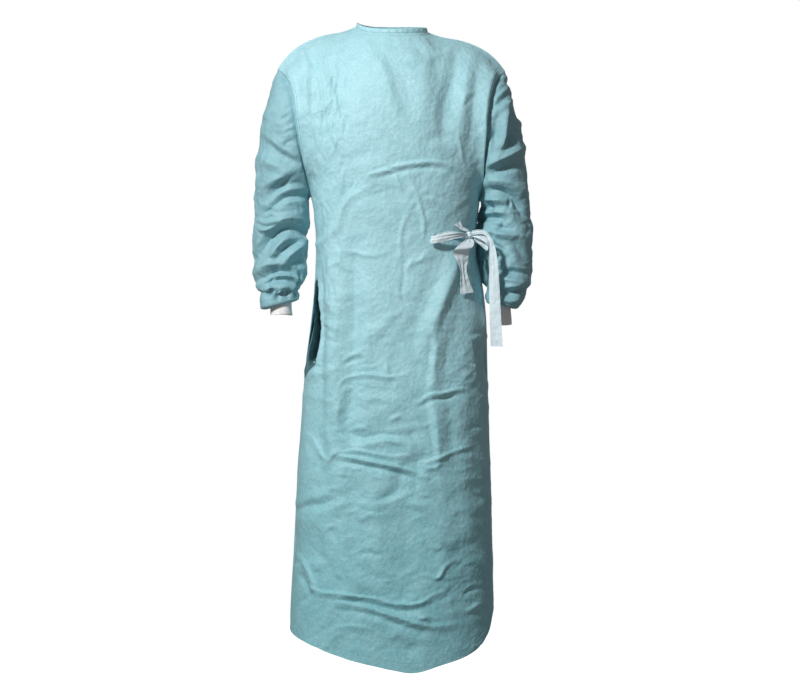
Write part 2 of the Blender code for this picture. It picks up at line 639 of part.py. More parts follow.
def over_back(back, rise, points, normals):
    """The over back: as the back at its right, and lifted over the under back up to a slanting free edge."""
    plain = UNDER_BACK_COLUMNS + 2
    edge = mix(FLAP_EDGE_LOW, FLAP_EDGE_NECK, smooth(rise - 0.9))
    places = mix(edge, plain, np.linspace(0, 1, FLAP_COLUMNS + 1)[None, :-1])
    turns = 1 + places / PANEL_COLUMNS
    flap = back(turns, rise)
    flap_normals = normals_of(back, turns, rise, 1)
    level = unit(flap * (1, 1, 0))
    way = unit(mix(flap_normals, level, smooth((rise - 1.75) * 4)[..., None]))
    lift = FLAP_LIFT * smooth((plain - 0.2 - places) / 1.6)
    flap = flap + way * lift[..., None]
    return np.concatenate([flap, points[:, plain:]], axis=1), np.concatenate([flap_normals, normals[:, plain:]], axis=1)


def neck_binding(finish):
    """The folded strip that binds the neck. It starts on the under back, goes round, and laps on the over back."""
    edge = SHOULDER_COLUMNS / PANEL_COLUMNS
    under_end = 1 + UNDER_BACK_COLUMNS / PANEL_COLUMNS
    column = 1 / PANEL_COLUMNS
    first = np.arange(under_end, 1 + edge - column / 2, -column)
    front = np.arange(1 - edge, edge - column / 2, -column)
    last = np.arange(2 - edge, 1 + (FLAP_EDGE_NECK - 0.5) * column, -column)
    turns = np.concatenate([first, front[1:], last[1:]])
    lap = np.zeros(len(turns))
    lap[-len(last) :] = FLAP_LIFT * smooth((under_end + 1.8 * column - last) / (1.6 * column))
    x, depth, z = shoulder_line(turns)
    sign = np.where(turns <= 1.0, MIDDLE[-1].front, MIDDLE[-1].back)
    line = np.stack([x, sign * depth, z], axis=-1)
    out = unit(line * (1, 1, 0))
    line = line + out * lap[:, None]
    up = unit(np.array([0, 0, 1.0]) - BAND_LEAN * out)
    heights = np.array([SEAM_GAP * 3, BAND_HEIGHT])[:, None, None]
    outer = line[None] + up[None] * heights
    normals = unit(np.broadcast_to(out + BAND_LEAN * np.array([0, 0, 1.0]), outer.shape))
    wall("neck_binding", outer, normals, BINDING, finish)


def cuffs(finish):
    """Ribbed cuffs: short tubes that grip the wrist, their tops tucked up inside the sleeves."""
    angles = np.linspace(0, 2 * math.pi, 2 * YOKE_ROWS + 1)[:-1]
    for name, cuff in (("cuff_right", RIGHT_CUFF), ("cuff_left", LEFT_CUFF)):
        side = np.sign(cuff.x)
        rings, normals = [], []
        for share in (0.0, 0.35, 0.7, 1.0):
            flare = CUFF_FLARE * share
            x = cuff.x - side * (CUFF_HALF_WIDTH + flare) * np.cos(angles)
            y = cuff.y - (CUFF_HALF_DEPTH + flare) * np.sin(angles)
            z = np.full(len(angles), mix(cuff.top, cuff.bottom, share))
            rings.append(np.stack([x, y, z], axis=-1))
            normals.append(unit(np.stack([-side * np.cos(angles), -np.sin(angles), 0 * z], axis=-1)))
        wall(name, np.array(rings), np.array(normals), KNIT, finish, tube=True)


def at_column(panel, column, z, lift=0.0):
    """A place on a panel's cloth at a column and a height, moved out, and the cloth's direction there."""
    points, normals = panel
    low = min(int(column), PANEL_COLUMNS - 1)
    line = mix(points[:, low], points[:, low + 1], column - low)
    ways = mix(normals[:, low], normals[:, low + 1], column - low)
    out = unit(np.array([np.interp(z, line[:, 2], ways[:, k]) for k in range(3)]))
    return np.array([np.interp(z, line[:, 2], line[:, k]) for k in range(3)]) + out * lift, out


def on_panel(panel, x, z, lift):
    """A place on the front seen at x and z, moved out."""
    columns = np.arange(PANEL_COLUMNS + 1)
    places = [at_column(panel, column, z)[0][0] for column in columns]
    return at_column(panel, float(np.interp(x, places, columns)), z, lift)[0]


def ribbon(name, edges, finish):
    """A flat tie of even thickness between its two edges."""
    edges = np.array(edges, float)
    along = unit(np.gradient(edges.mean(axis=1), axis=0))
    out = unit(np.cross(along, edges[:, 1] - edges[:, 0]))
    normals = np.stack([out, out], axis=1)
    return wall(name, edges + normals * TIE_CLOTH / 2, normals, TIE_CLOTH, finish)


def curve_through(stations, count):
    """Evenly spread points on a smooth curve through a few stations."""
    stations = np.array(stations, float)
    gaps = np.linalg.norm(np.diff(stations[:, :3], axis=0), axis=1)
    places = np.concatenate([[0], np.cumsum(gaps)])
    Row = namedtuple("Row", ["place"] + [f"value{i}" for i in range(stations.shape[1])])
    rows = [Row(p, *values) for p, values in zip(places, stations)]
    wanted = np.linspace(0, places[-1], count)
    return np.stack([read(rows, f"value{i}", wanted) for i in range(stations.shape[1])], axis=1)


def bow(front, finish):
    """The knot, its two loops, the two hanging ends, and the root of the inner tie on the front."""
    knot = on_panel(front, KNOT_X, KNOT_Z, KNOT_OUT)
    bpy.ops.mesh.primitive_uv_sphere_add(segments=12, ring_count=8, radius=1.0)
    lump = bpy.context.object
    lump.name = "knot"
    lump.data.name = "knot"
    lump.data.materials.append(finish)
    for vertex in lump.data.vertices:
        vertex.co = [knot[k] + vertex.co[k] * KNOT_SIZE[k] for k in range(3)]
    lump.data.shade_smooth()

    # Ties that lie on the front: x and z from the knot's centre, height over the cloth, width
    for name, stations, across, count in (
        ("loop_left", LEFT_LOOP, (0.15, 1.0), 18),
        ("end_short", SHORT_END, (1.0, 0.15), 14),
        ("tie_root", TIE_ROOT, (0.85, 0.55), 5),
    ):
        edges = []
        for x, z, lift, width in curve_through(stations, count):
            edges.append([])
            for side in (-0.5, 0.5):
                spot = (KNOT_X + x + across[0] * width * side, KNOT_Z + z + across[1] * width * side)
                edges[-1].append(on_panel(front, *spot, lift))
        ribbon(name, edges, finish)

    # Ties that stand free of the cloth: x, y and z from the knot's centre, width, turn from upright to level
    for name, stations, count in (("loop_right", RIGHT_LOOP, 16), ("end_long", LONG_END, 26)):
        edges = []
        for x, y, z, width, turn in curve_through(stations, count):
            across = np.array([math.sin(turn), -0.15 * math.sin(turn) - 0.1 * math.cos(turn), math.cos(turn)])
            centre = knot + (x, y, z)
            edges.append([centre - across * width / 2, centre + across * width / 2])
        ribbon(name, edges, finish)


def strap(front, back, finish):
    """The tie of the over back, which comes round the wearer's left side to the knot."""
    edges = []
    for place in np.linspace(STRAP_START, STRAP_END, STRAP_STATIONS):
        panel = back if place > 1.0 else front
        column = (place - 1.0 if place > 1.0 else place) * PANEL_COLUMNS
        z = mix(STRAP_Z, KNOT_Z, smooth((1.0 - place) / (1.0 - STRAP_END)))
        lift = mix(0.0016, FLAP_LIFT + 0.0016, smooth((place - 1.10) / 0.07))
        lift += 0.0035 * smooth((0.93 - place) / 0.05)
        half = 0.0125 - 0.008 * smooth((0.99 - place) / 0.12)
        edges.append([at_column(panel, column, z + side * half, lift)[0] for side in (-1, 1)])
    ribbon("waist_strap", edges, finish)


def main():
    clear_scene()
    gown = material("gown_cloth", TEAL, 0.75)
    ties = material("tie_cloth", PALE_TEAL, 0.7)
    knit = material("cuff_knit", WHITE, 0.9)
    front, back = panels(gown)
    neck_binding(gown)
    cuffs(knit)
    bow(front, ties)
    strap(front, back, ties)


main()
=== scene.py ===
import math
from collections import namedtuple

import bpy
import numpy as np
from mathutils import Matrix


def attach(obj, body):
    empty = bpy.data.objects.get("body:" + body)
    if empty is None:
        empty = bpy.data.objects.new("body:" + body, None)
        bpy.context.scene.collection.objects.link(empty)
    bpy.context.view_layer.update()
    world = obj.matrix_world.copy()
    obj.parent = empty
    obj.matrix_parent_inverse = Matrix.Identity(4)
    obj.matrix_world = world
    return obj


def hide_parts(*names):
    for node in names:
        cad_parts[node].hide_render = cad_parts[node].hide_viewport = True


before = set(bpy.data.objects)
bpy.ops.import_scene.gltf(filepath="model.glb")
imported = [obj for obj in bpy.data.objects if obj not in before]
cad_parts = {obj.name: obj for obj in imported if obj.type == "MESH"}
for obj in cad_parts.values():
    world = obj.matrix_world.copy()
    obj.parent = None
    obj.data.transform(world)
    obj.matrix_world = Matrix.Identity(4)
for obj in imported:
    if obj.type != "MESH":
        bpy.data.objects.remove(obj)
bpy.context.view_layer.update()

# Camera: level with the waist and straight in front, as far off as a studio camera stands.
# Its frame of 800 by 700 also places the creases that the front view shows.
CAMERA_PLACE = (0.0172, -4.2, -0.687)
FRAME_WIDTH, FRAME_HEIGHT = 800, 700
LENS_PIXELS = 1957
camera_data = bpy.data.cameras.new("camera")
camera_data.sensor_width = 36
camera_data.lens = 36 * LENS_PIXELS / FRAME_WIDTH
camera = bpy.data.objects.new("camera", camera_data)
camera.location = CAMERA_PLACE
camera.rotation_euler = (math.radians(90), 0, 0)
bpy.context.scene.collection.objects.link(camera)
bpy.context.scene.camera = camera


# Front panel: one piece of blue-green nonwoven cloth from side seam to side seam. It hangs from
# the shoulders over the filled-out body, wider towards the hem, and is sewn to the backs and sleeves.
CLOTH = 0.0009
SEAM_GAP = 0.0003
SQUARENESS = 2.4
ARMPIT_Z = -0.355
NECK_HALF = 0.077
NECK_SHARE = 5 / 24
FRONT_COLUMNS, SKIRT_ROWS, YOKE_ROWS = 222, 273, 120

Section = namedtuple("Section", "z right left front back")
BODY = [
    Section(-1.400, -0.2200, 0.2200, -0.192, 0.182),
    Section(-1.240, -0.2175, 0.2182, -0.184, 0.174),
    Section(-1.120, -0.2110, 0.2155, -0.176, 0.166),
    Section(-0.960, -0.2030, 0.2120, -0.165, 0.156),
    Section(-0.800, -0.1920, 0.2065, -0.154, 0.146),
    Section(-0.710, -0.1846, 0.2045, -0.147, 0.140),
    Section(-0.620, -0.1730, 0.2020, -0.141, 0.132),
    Section(-0.540, -0.1655, 0.1930, -0.137, 0.122),
    Section(-0.460, -0.1630, 0.1780, -0.134, 0.112),
    Section(-0.400, -0.1660, 0.1845, -0.138, 0.116),
    Section(-0.355, -0.1705, 0.1880, -0.140, 0.122),
]
Hem = namedtuple("Hem", "round z")
HEM = [
    Hem(0.00, -1.277),
    Hem(0.26, -1.302),
    Hem(0.34, -1.316),
    Hem(0.47, -1.337),
    Hem(0.54, -1.350),
    Hem(0.63, -1.336),
    Hem(0.78, -1.311),
    Hem(0.87, -1.281),
    Hem(0.93, -1.248),
    Hem(1.00, -1.236),
    Hem(1.25, -1.240),
    Hem(1.50, -1.250),
    Hem(1.75, -1.262),
    Hem(2.00, -1.277),
]
Armhole = namedtuple("Armhole", "share right left front back")
ARMHOLE = [
    Armhole(0.00, -0.1705, 0.1880, 0.000, 0.000),
    Armhole(0.10, -0.1745, 0.1900, -0.040, 0.040),
    Armhole(0.25, -0.1850, 0.1935, -0.068, 0.070),
    Armhole(0.45, -0.1970, 0.1990, -0.082, 0.086),
    Armhole(0.65, -0.2040, 0.2040, -0.080, 0.086),
    Armhole(0.82, -0.2140, 0.2130, -0.062, 0.068),
    Armhole(0.93, -0.2270, 0.2250, -0.036, 0.040),
    Armhole(1.00, -0.2450, 0.2425, 0.000, 0.000),
]
Middle = namedtuple("Middle", "share front back")
MIDDLE = [
    Middle(0.00, -0.140, 0.122),
    Middle(0.30, -0.141, 0.126),
    Middle(0.55, -0.135, 0.124),
    Middle(0.75, -0.119, 0.112),
    Middle(0.90, -0.095, 0.090),
    Middle(1.00, -0.068, 0.062),
]
Shoulder = namedtuple("Shoulder", "share drop")
SHOULDER = [
    Shoulder(0.00, 0.00),
    Shoulder(0.15, 0.11),
    Shoulder(0.45, 0.23),
    Shoulder(0.65, 0.38),
    Shoulder(0.80, 0.56),
    Shoulder(0.92, 0.79),
    Shoulder(1.00, 1.00),
]
Neck = namedtuple("Neck", "right_z left_z front_z back_z")
NECK = Neck(0.007, -0.005, -0.018, 0.006)
TIP_RIGHT_Z = -0.083
TIP_LEFT_Z = -0.088


def read(rows, column, places):
    """A table's column at each place, on a smooth curve through the rows."""
    knots = np.array([row[0] for row in rows])
    values = np.array([getattr(row, column) for row in rows])
    steps = np.diff(values) / np.diff(knots)
    slopes = np.concatenate([steps[:1], (steps[:-1] + steps[1:]) / 2, steps[-1:]])
    places = np.clip(places, knots[0], knots[-1])
    low = np.clip(np.searchsorted(knots, places, side="right") - 1, 0, len(knots) - 2)
    span = knots[low + 1] - knots[low]
    t = (places - knots[low]) / span
    rise = values[low + 1] - values[low]
    start, end = slopes[low] * span, slopes[low + 1] * span
    return values[low] + t * start + t * t * (3 * rise - 2 * start - end) + t**3 * (start + end - 2 * rise)


def smooth(t):
    t = np.clip(t, 0.0, 1.0)
    return t * t * (3 - 2 * t)


def mix(a, b, share):
    return a + (b - a) * share


def unit(vectors):
    return vectors / np.maximum(np.linalg.norm(vectors, axis=-1, keepdims=True), 1e-12)


def squared(value):
    return np.sign(value) * np.abs(value) ** (2 / SQUARENESS)


def yoke_share(t):
    return mix(t, (1 - np.cos(math.pi * t)) / 2, 0.6)


def shoulder_line(turn):
    """The top edges of the front and back: the shoulder seams, and the neckline between them."""
    panel = np.where(turn > 1.0, 2.0 - turn, turn)
    on_right = panel < 0.5
    from_tip = np.minimum(panel, 1.0 - panel) / NECK_SHARE
    share = np.clip(1.0 - from_tip, 0.0, 1.0)
    tip = np.where(on_right, -ARMHOLE[-1].right, ARMHOLE[-1].left)
    neck_z = np.where(on_right, NECK.right_z, NECK.left_z)
    tip_z = np.where(on_right, TIP_RIGHT_Z, TIP_LEFT_Z)
    across = (panel - NECK_SHARE) / (1.0 - 2 * NECK_SHARE)
    swing = np.sin(math.pi * np.clip(across, 0.0, 1.0))
    shoulder_x = np.where(on_right, -1.0, 1.0) * mix(NECK_HALF, tip, share)
    neck_x = -NECK_HALF * np.cos(math.pi * across)
    shoulder_z = mix(neck_z, tip_z, read(SHOULDER, "drop", share))
    side_z = mix(NECK.right_z, NECK.left_z, smooth(across))
    neck_line_z = mix(side_z, np.where(turn <= 1.0, NECK.front_z, NECK.back_z), swing)
    on_shoulder = from_tip < 1.0
    return (
        np.where(on_shoulder, shoulder_x, neck_x),
        np.where(on_shoulder, 0.0, swing),
        np.where(on_shoulder, shoulder_z, neck_line_z),
    )


def eased_shoulder_line(turn, share, panel):
    """The shoulder line, with the corners at the neck rounded off more and more below it."""
    from_side = np.minimum(turn - panel, 1.0 + panel - turn)
    reach = 0.11 * (1 - share) ** 0.7 * np.clip(from_side / 0.11, 0, 1)
    lines = [shoulder_line(turn + reach * place) for place in (-1.0, -0.67, -0.33, 0.0, 0.33, 0.67, 1.0)]
    return tuple(sum(line[k] for line in lines) / len(lines) for k in range(3))


def plain_body(turn, rise, panel):
    """The body with no creases. Turn is 0 to 1 over the front and 1 to 2 over the back; rise is 0 to 1 up to
    the armpits and 1 to 2 up to the shoulders. Panel is 0 for the front and 1 for the back."""
    turn, rise = np.broadcast_arrays(turn, rise)
    around = np.where(turn == 2.0, 2.0, np.mod(turn + 2.0, 2.0))
    wide, deep = squared(-np.cos(math.pi * around)), squared(np.sin(math.pi * around))
    is_front = np.where(around == 1.0, panel == 0, around < 1.0)

    low = np.clip(rise, 0.0, 1.0)
    z = mix(read(HEM, "z", around), ARMPIT_Z, low)
    right, left = read(BODY, "right", z), read(BODY, "left", z)
    depth = np.where(is_front, -read(BODY, "front", z), read(BODY, "back", z))
    lower = np.stack([(left + right) / 2 + (left - right) / 2 * wide, -depth * deep, z], axis=-1)

    share = yoke_share(np.clip(rise - 1.0, 0.0, 1.0))
    top_x, top_deep, top_z = eased_shoulder_line(around, share, panel)
    right, left = read(ARMHOLE, "right", share), read(ARMHOLE, "left", share)
    tip_half = (ARMHOLE[-1].left - ARMHOLE[-1].right) / 2
    tip_middle = (ARMHOLE[-1].left + ARMHOLE[-1].right) / 2
    end = np.where(is_front, read(ARMHOLE, "front", share), read(ARMHOLE, "back", share))
    middle = np.where(is_front, read(MIDDLE, "front", share), read(MIDDLE, "back", share))
    start = end / middle
    along = mix(start, 1.0, np.abs(deep)) ** SQUARENESS
    arc = np.sign(wide) * (np.maximum(1 - along, 0.0) / (1 - start**SQUARENESS)) ** (1 / SQUARENESS)
    wide = mix(arc, (top_x - tip_middle) / tip_half, share**1.5)
    fullness = mix(np.abs(deep), top_deep, share**2.5)
    upper = np.stack(
        [(left + right) / 2 + (left - right) / 2 * wide, mix(end, middle, fullness), mix(ARMPIT_Z, top_z, share)],
        axis=-1,
    )
    return np.where((rise <= 1.0)[..., None], lower, upper)


def body_normals(turn, rise, panel, step=0.008):
    """Outward directions of the plain body. Above the armpits a panel ends at the armhole."""
    above = rise > 1.0
    before = np.where(above, np.maximum(turn - step, panel), turn - step)
    after = np.where(above, np.minimum(turn + step, panel + 1.0), turn + step)
    down, up = np.maximum(rise - step, 0.0), np.minimum(rise + step, 2.0)
    sideways = plain_body(after, rise, panel) - plain_body(before, rise, panel)
    return unit(np.cross(sideways, plain_body(turn, up, panel) - plain_body(turn, down, panel)))


# A crease: its height in millimetres out of the cloth, its half width in pixels of the camera's frame, how
# much steeper its one side is, and the points that it runs through
Crease = namedtuple("Crease", "height width lean points")


def crease_field(across, down, creases):
    """How far the creases move the cloth out, in metres, at places given in pixels of the camera's frame."""
    shape = across.shape
    across, down = across.ravel(), down.ravel()
    total = np.zeros(across.shape)
    for crease in creases:
        points = np.array(crease.points, float)
        reach = 3.2 * crease.width * (1 + abs(crease.lean))
        low, high = points.min(axis=0) - reach, points.max(axis=0) + reach
        near = np.nonzero((across > low[0]) & (across < high[0]) & (down > low[1]) & (down < high[1]))[0]
        if not len(near):
            continue
        if len(points) > 2:
            places = np.concatenate([[0], np.cumsum(np.linalg.norm(np.diff(points, axis=0), axis=1))])
            Way = namedtuple("Way", "place x y")
            rows = [Way(place, *point) for place, point in zip(places, points)]
            fine = np.linspace(0, places[-1], 5 * len(points))
            points = np.stack([read(rows, "x", fine), read(rows, "y", fine)], axis=1)
        runs = np.diff(points, axis=0)
        lengths = np.maximum(np.linalg.norm(runs, axis=1), 1e-6)
        begins = np.concatenate([[0], np.cumsum(lengths)])
        x, y = across[near], down[near]
        best = np.full(len(near), 1e9)
        side = np.zeros(len(near))
        along = np.zeros(len(near))
        for point, run, length, begin in zip(points, runs, lengths, begins):
            t = np.clip(((x - point[0]) * run[0] + (y - point[1]) * run[1]) / length**2, 0, 1)
            off_x, off_y = x - point[0] - t * run[0], y - point[1] - t * run[1]
            distance = off_x**2 + off_y**2
            closer = distance < best
            best = np.where(closer, distance, best)
            side = np.where(closer, np.sign(off_x * -run[1] + off_y * run[0]), side)
            along = np.where(closer, (begin + t * length) / begins[-1], along)
        width = crease.width * (1 + crease.lean * side)
        taper = np.sin(math.pi * np.clip(along, 0.03, 0.97)) ** 0.6
        folded = np.clip(1.08 - np.sqrt(best / width**2 + 0.03) / 1.7, 0, 1)
        total[near] += 0.001 * crease.height * taper * mix(np.exp(-best / width**2), folded, 0.75)
    return total.reshape(shape)


def seen_at(points):
    """Where the camera sees each point, in pixels of its frame."""
    away = points[..., 1] - CAMERA_PLACE[1]
    across = FRAME_WIDTH / 2 + LENS_PIXELS * (points[..., 0] - CAMERA_PLACE[0]) / away
    return across, FRAME_HEIGHT / 2 - LENS_PIXELS * (points[..., 2] - CAMERA_PLACE[2]) / away


def crumpled(across, down, stretch):
    """Flat facets between crisp edges, as in stiff cloth that was folded small: a net of triangles whose
    corners lie at random heights, drawn out of line by slow waves."""
    chance = np.random.default_rng(stretch.seed)
    heights = chance.normal(size=(160, 160)) * chance.choice((0.3, 1.0), size=(160, 160), p=(0.6, 0.4))
    shift = chance.uniform(0, 6.28, 6)
    slow_x = 1.1 * np.sin(down / 23 + shift[0]) + 0.7 * np.sin(across / 17 + down / 31 + shift[1])
    slow_y = 1.1 * np.sin(across / 27 + shift[2]) + 0.7 * np.sin(down / 19 - across / 37 + shift[3])
    u = (across - 200) / stretch.wide + slow_x + 0.35 * np.sin(down / 7 + shift[4]) + 20
    v = down / stretch.tall + slow_y + 0.35 * np.sin(across / 9 + shift[5]) + 20
    i, j = np.floor(u).astype(int) % 159, np.floor(v).astype(int) % 159
    fu, fv = u - np.floor(u), v - np.floor(v)
    near, right, up, far = heights[i, j], heights[i + 1, j], heights[i, j + 1], heights[i + 1, j + 1]
    lower = near + fu * (right - near) + fv * (up - near)
    upper = far + (1 - fu) * (up - far) + (1 - fv) * (right - far)
    inside = smooth((across - stretch.left) / 16) * smooth((stretch.right - across) / 16)
    inside = inside * smooth((down - stretch.top) / 24) * smooth((stretch.bottom - down) / 24)
    return stretch.height * inside * np.where(fu + fv < 1, lower, upper)


def scattered_creases(seed, count, box, lengths, widths, heights, leaning, spread):
    """Small creases at random over a part of the cloth, most of them running the one way."""
    chance = np.random.default_rng(seed)
    made = []
    for _ in range(count):
        x, y = chance.uniform(box[0], box[2]), chance.uniform(box[1], box[3])
        half = chance.uniform(*lengths) / 2
        way = math.radians(leaning + chance.normal() * spread)
        bow = chance.normal() * half * 0.25
        run = np.array([math.cos(way), math.sin(way)])
        aside = np.array([-run[1], run[0]])
        ends = [np.array([x, y]) - run * half, np.array([x, y]) + aside * bow, np.array([x, y]) + run * half]
        height = chance.uniform(*heights) * chance.choice((-1, 1))
        made.append(Crease(height, chance.uniform(*widths), chance.uniform(-0.4, 0.4), [tuple(e) for e in ends]))
    return made


FRONT_CREASES = [
    Crease(-4, 4, 0.0, ((294, 56), (295, 84), (299, 110))),
    Crease(6, 4, 0.2, ((303, 50), (306, 68), (308, 106), (311, 132))),
    Crease(-4, 3.0, 0.0, ((307, 50), (313, 60), (318, 73), (320, 88))),
    Crease(5, 5, 0.0, ((322, 60), (326, 85), (333, 110), (337, 150))),
    Crease(2.2, 1.8, 0.0, ((318, 86), (321, 110), (319, 134), (322, 152))),
    Crease(2.2, 1.7, 0.0, ((324, 92), (327, 116), (329, 140), (328, 160))),
    Crease(-2.4, 1.8, 0.0, ((331, 96), (334, 120), (335, 142), (333, 166))),
    Crease(2.0, 1.7, 0.0, ((314, 112), (316, 140), (321, 168))),
    Crease(4, 6, 0.3, ((362, 38), (383, 68), (392, 95), (402, 118))),
    Crease(-3.0, 11, 0.0, ((384, 48), (402, 76), (410, 100), (414, 124))),
    Crease(4, 9, 0.0, ((420, 50), (424, 84), (424, 120))),
    Crease(-7, 8, -0.3, ((458, 46), (451, 85), (446, 105), (443, 150))),
    Crease(5, 6, 0.0, ((470, 54), (463, 100), (456, 150))),
    Crease(-3, 5, 0.0, ((478, 60), (474, 110), (470, 160))),
    Crease(2.0, 1.7, 0.3, ((462, 104), (466, 94), (474, 92))),
    Crease(-2.0, 1.7, 0.0, ((463, 108), (469, 101), (477, 97))),
    Crease(2.0, 1.7, 0.0, ((458, 134), (461, 150), (464, 166))),
    Crease(4.2, 2.0, 0.4, ((371, 173), (384, 169), (412, 163), (440, 162), (452, 166), (462, 173))),
    Crease(-3.0, 2.2, 0.0, ((380, 178), (404, 171), (438, 168), (456, 174))),
    Crease(3.3, 1.7, 0.3, ((367, 177), (372, 174), (394, 172), (398, 180), (402, 194))),
    Crease(3.6, 1.7, 0.0, ((412, 186), (416, 194), (421, 210), (424, 226), (423, 240))),
    Crease(-2.7, 1.7, 0.0, ((420, 195), (434, 196), (444, 199))),
    Crease(3.0, 1.8, 0.0, ((412, 206), (404, 222), (400, 244), (402, 262))),
    Crease(3.6, 1.8, 0.3, ((405, 270), (412, 262), (420, 260), (426, 252))),
    Crease(-3.0, 1.8, 0.0, ((403, 262), (404, 276), (402, 292), (406, 306))),
    Crease(2.7, 1.7, 0.0, ((332, 252), (352, 252), (364, 255), (384, 254))),
    Crease(2.7, 1.7, 0.0, ((330, 268), (340, 262), (344, 268), (356, 270))),
    Crease(11, 8, 0.35, ((459, 252), (448, 284), (440, 306), (434, 322), (424, 346))),
    Crease(-6, 8, 0.0, ((446, 252), (436, 284), (424, 312), (410, 344))),
    Crease(-5, 8, 0.0, ((472, 262), (463, 300), (454, 340), (446, 366))),
    Crease(4, 5, 0.0, ((421, 348), (424, 358), (430, 374))),
    Crease(8, 5, -0.35, ((436, 330), (435, 352), (433, 374), (431, 394))),
    Crease(9, 6, -0.5, ((429, 390), (434, 414), (437, 440), (438, 470))),
    Crease(-3.5, 6, 0.0, ((448, 400), (449, 430), (450, 466))),
    Crease(11, 9, -0.3, ((331, 190), (332, 300), (333, 384), (336, 420), (329, 464))),
    Crease(-9, 8, 0.0, ((356, 230), (353, 330), (351, 380), (347, 446))),
    Crease(-5, 4, 0.0, ((320, 236), (321, 320), (321, 400), (320, 450))),
    Crease(-7, 6, 0.0, ((316, 384), (315, 424), (320, 470))),
    Crease(4.5, 1.9, 0.4, ((319, 323), (330, 324), (342, 332))),
    Crease(-3.3, 1.9, 0.0, ((318, 337), (328, 339), (340, 344))),
    Crease(3.9, 1.8, -0.3, ((344, 361), (350, 356), (362, 352))),
    Crease(-3.6, 1.8, 0.0, ((341, 368), (350, 361), (364, 358))),
    Crease(4.8, 2.0, 0.4, ((340, 386), (345, 379), (352, 376), (370, 374), (388, 377), (406, 374))),
    Crease(3.6, 1.7, 0.0, ((386, 362), (387, 370), (389, 376))),
    Crease(4.8, 1.9, 0.4, ((416, 404), (424, 398), (431, 394), (444, 393), (457, 389), (466, 389))),
    Crease(-3.6, 1.8, 0.0, ((420, 407), (434, 400), (446, 398), (464, 394))),
    Crease(4.2, 1.8, 0.3, ((388, 421), (395, 417), (404, 414))),
    Crease(3.6, 1.7, 0.4, ((376, 434), (390, 440), (404, 446))),
    Crease(3.0, 1.7, 0.3, ((344, 430), (360, 428), (374, 431))),
    Crease(6.6, 2.3, 0.5, ((335, 455), (355, 458), (375, 462), (398, 467), (416, 472), (426, 477), (432, 484))),
    Crease(-5.1, 2.6, 0.0, ((338, 461), (356, 464), (376, 468), (398, 473), (412, 478))),
    Crease(4.5, 1.9, 0.4, ((339, 453), (356, 450), (372, 453), (392, 456), (408, 455))),
    Crease(3.9, 1.9, 0.3, ((414, 456), (424, 462), (438, 458), (452, 452), (470, 446))),
    Crease(3.6, 1.8, 0.3, ((424, 466), (432, 468), (440, 464))),
    Crease(3.6, 1.8, 0.3, ((328, 490), (334, 488), (341, 489))),
    Crease(-3.0, 3.0, 0.0, ((328, 526), (333, 534), (337, 544))),
    Crease(3.6, 1.8, 0.3, ((325, 530), (330, 527), (337, 525))),
    Crease(3.6, 2.0, 0.3, ((352, 512), (360, 518), (372, 514), (382, 516))),
    Crease(-3.9, 2.0, 0.0, ((357, 556), (366, 553), (379, 555))),
    Crease(4.2, 1.7, 0.4, ((430, 544), (434, 548), (441, 547))),
    Crease(-3.2, 3.0, 0.0, ((444, 546), (450, 552), (462, 556))),
    Crease(5.4, 1.6, 0.2, ((412, 581), (420, 575), (429, 576), (437, 578), (444, 567), (451, 562), (459, 560))),
    Crease(6.3, 2.3, 0.5, ((309, 586), (322, 592), (337, 593), (362, 597), (383, 599))),
    Crease(7.5, 2.4, 0.5, ((376, 598), (386, 602), (399, 604), (418, 603), (427, 599), (432, 595))),
    Crease(-4.4, 3.4, 0.0, ((344, 600), (364, 603), (384, 607), (400, 611), (424, 609))),
    Crease(6.9, 2.5, 0.5, ((336, 602), (350, 604), (372, 608), (393, 615), (413, 622), (431, 626), (462, 622))),
    Crease(-3.6, 3.0, 0.0, ((338, 609), (356, 611), (376, 616), (398, 624), (420, 630))),
    Crease(3.9, 1.7, 0.0, ((418, 612), (424, 618), (430, 624))),
    Crease(3.9, 1.7, 0.0, ((416, 620), (426, 617), (436, 619))),
    Crease(3.3, 1.8, 0.3, ((334, 627), (352, 626), (370, 629))),
    Crease(5.1, 2.2, 0.3, ((294, 552), (304, 563), (310, 574), (314, 584), (317, 599))),
    Crease(-3.9, 2.2, 0.0, ((298, 572), (306, 584), (310, 598))),
    Crease(4.5, 2.0, 0.3, ((464, 612), (472, 608), (478, 604), (485, 608))),
    Crease(-3.9, 2.4, 0.0, ((462, 596), (472, 590), (484, 588))),
    Crease(-4.0, 6, 0.0, ((346, 466), (352, 500), (350, 540))),
    Crease(4.0, 8, 0.0, ((372, 470), (378, 520), (380, 580))),
    Crease(-3.0, 8, 0.0, ((404, 480), (408, 530), (402, 590))),
    Crease(3.0, 8, 0.0, ((440, 480), (444, 540), (440, 600))),
    Crease(-13.0, 5, 0.0, ((480, 338), (483, 352), (486, 376))),
    Crease(4.4, 2.4, 0.3, ((310, 436), (318, 450), (328, 464))),
    Crease(4.4, 2.4, -0.3, ((328, 464), (334, 455), (342, 450))),
    Crease(3.9, 1.8, 0.0, ((472, 340), (478, 337), (487, 337))),
    Crease(3.9, 1.8, 0.0, ((477, 359), (482, 351), (487, 346))),
    Crease(-3.0, 7, 0.0, ((474, 400), (478, 460), (482, 540))),
]
# Crumpled stretches of the front: a box in pixels of the camera's frame, the size of a facet and its height
Crumple = namedtuple("Crumple", "left top right bottom wide tall height seed")
FRONT_CRUMPLES = [
    Crumple(296, 40, 352, 330, 4.5, 19, 0.0010, 41),
    Crumple(345, 120, 492, 320, 11, 9, 0.0006, 42),
    Crumple(300, 290, 500, 520, 15, 7.5, 0.0009, 43),
    Crumple(288, 480, 500, 680, 17, 9, 0.0008, 44),
    Crumple(280, 30, 500, 680, 44, 40, 0.0026, 45),
]
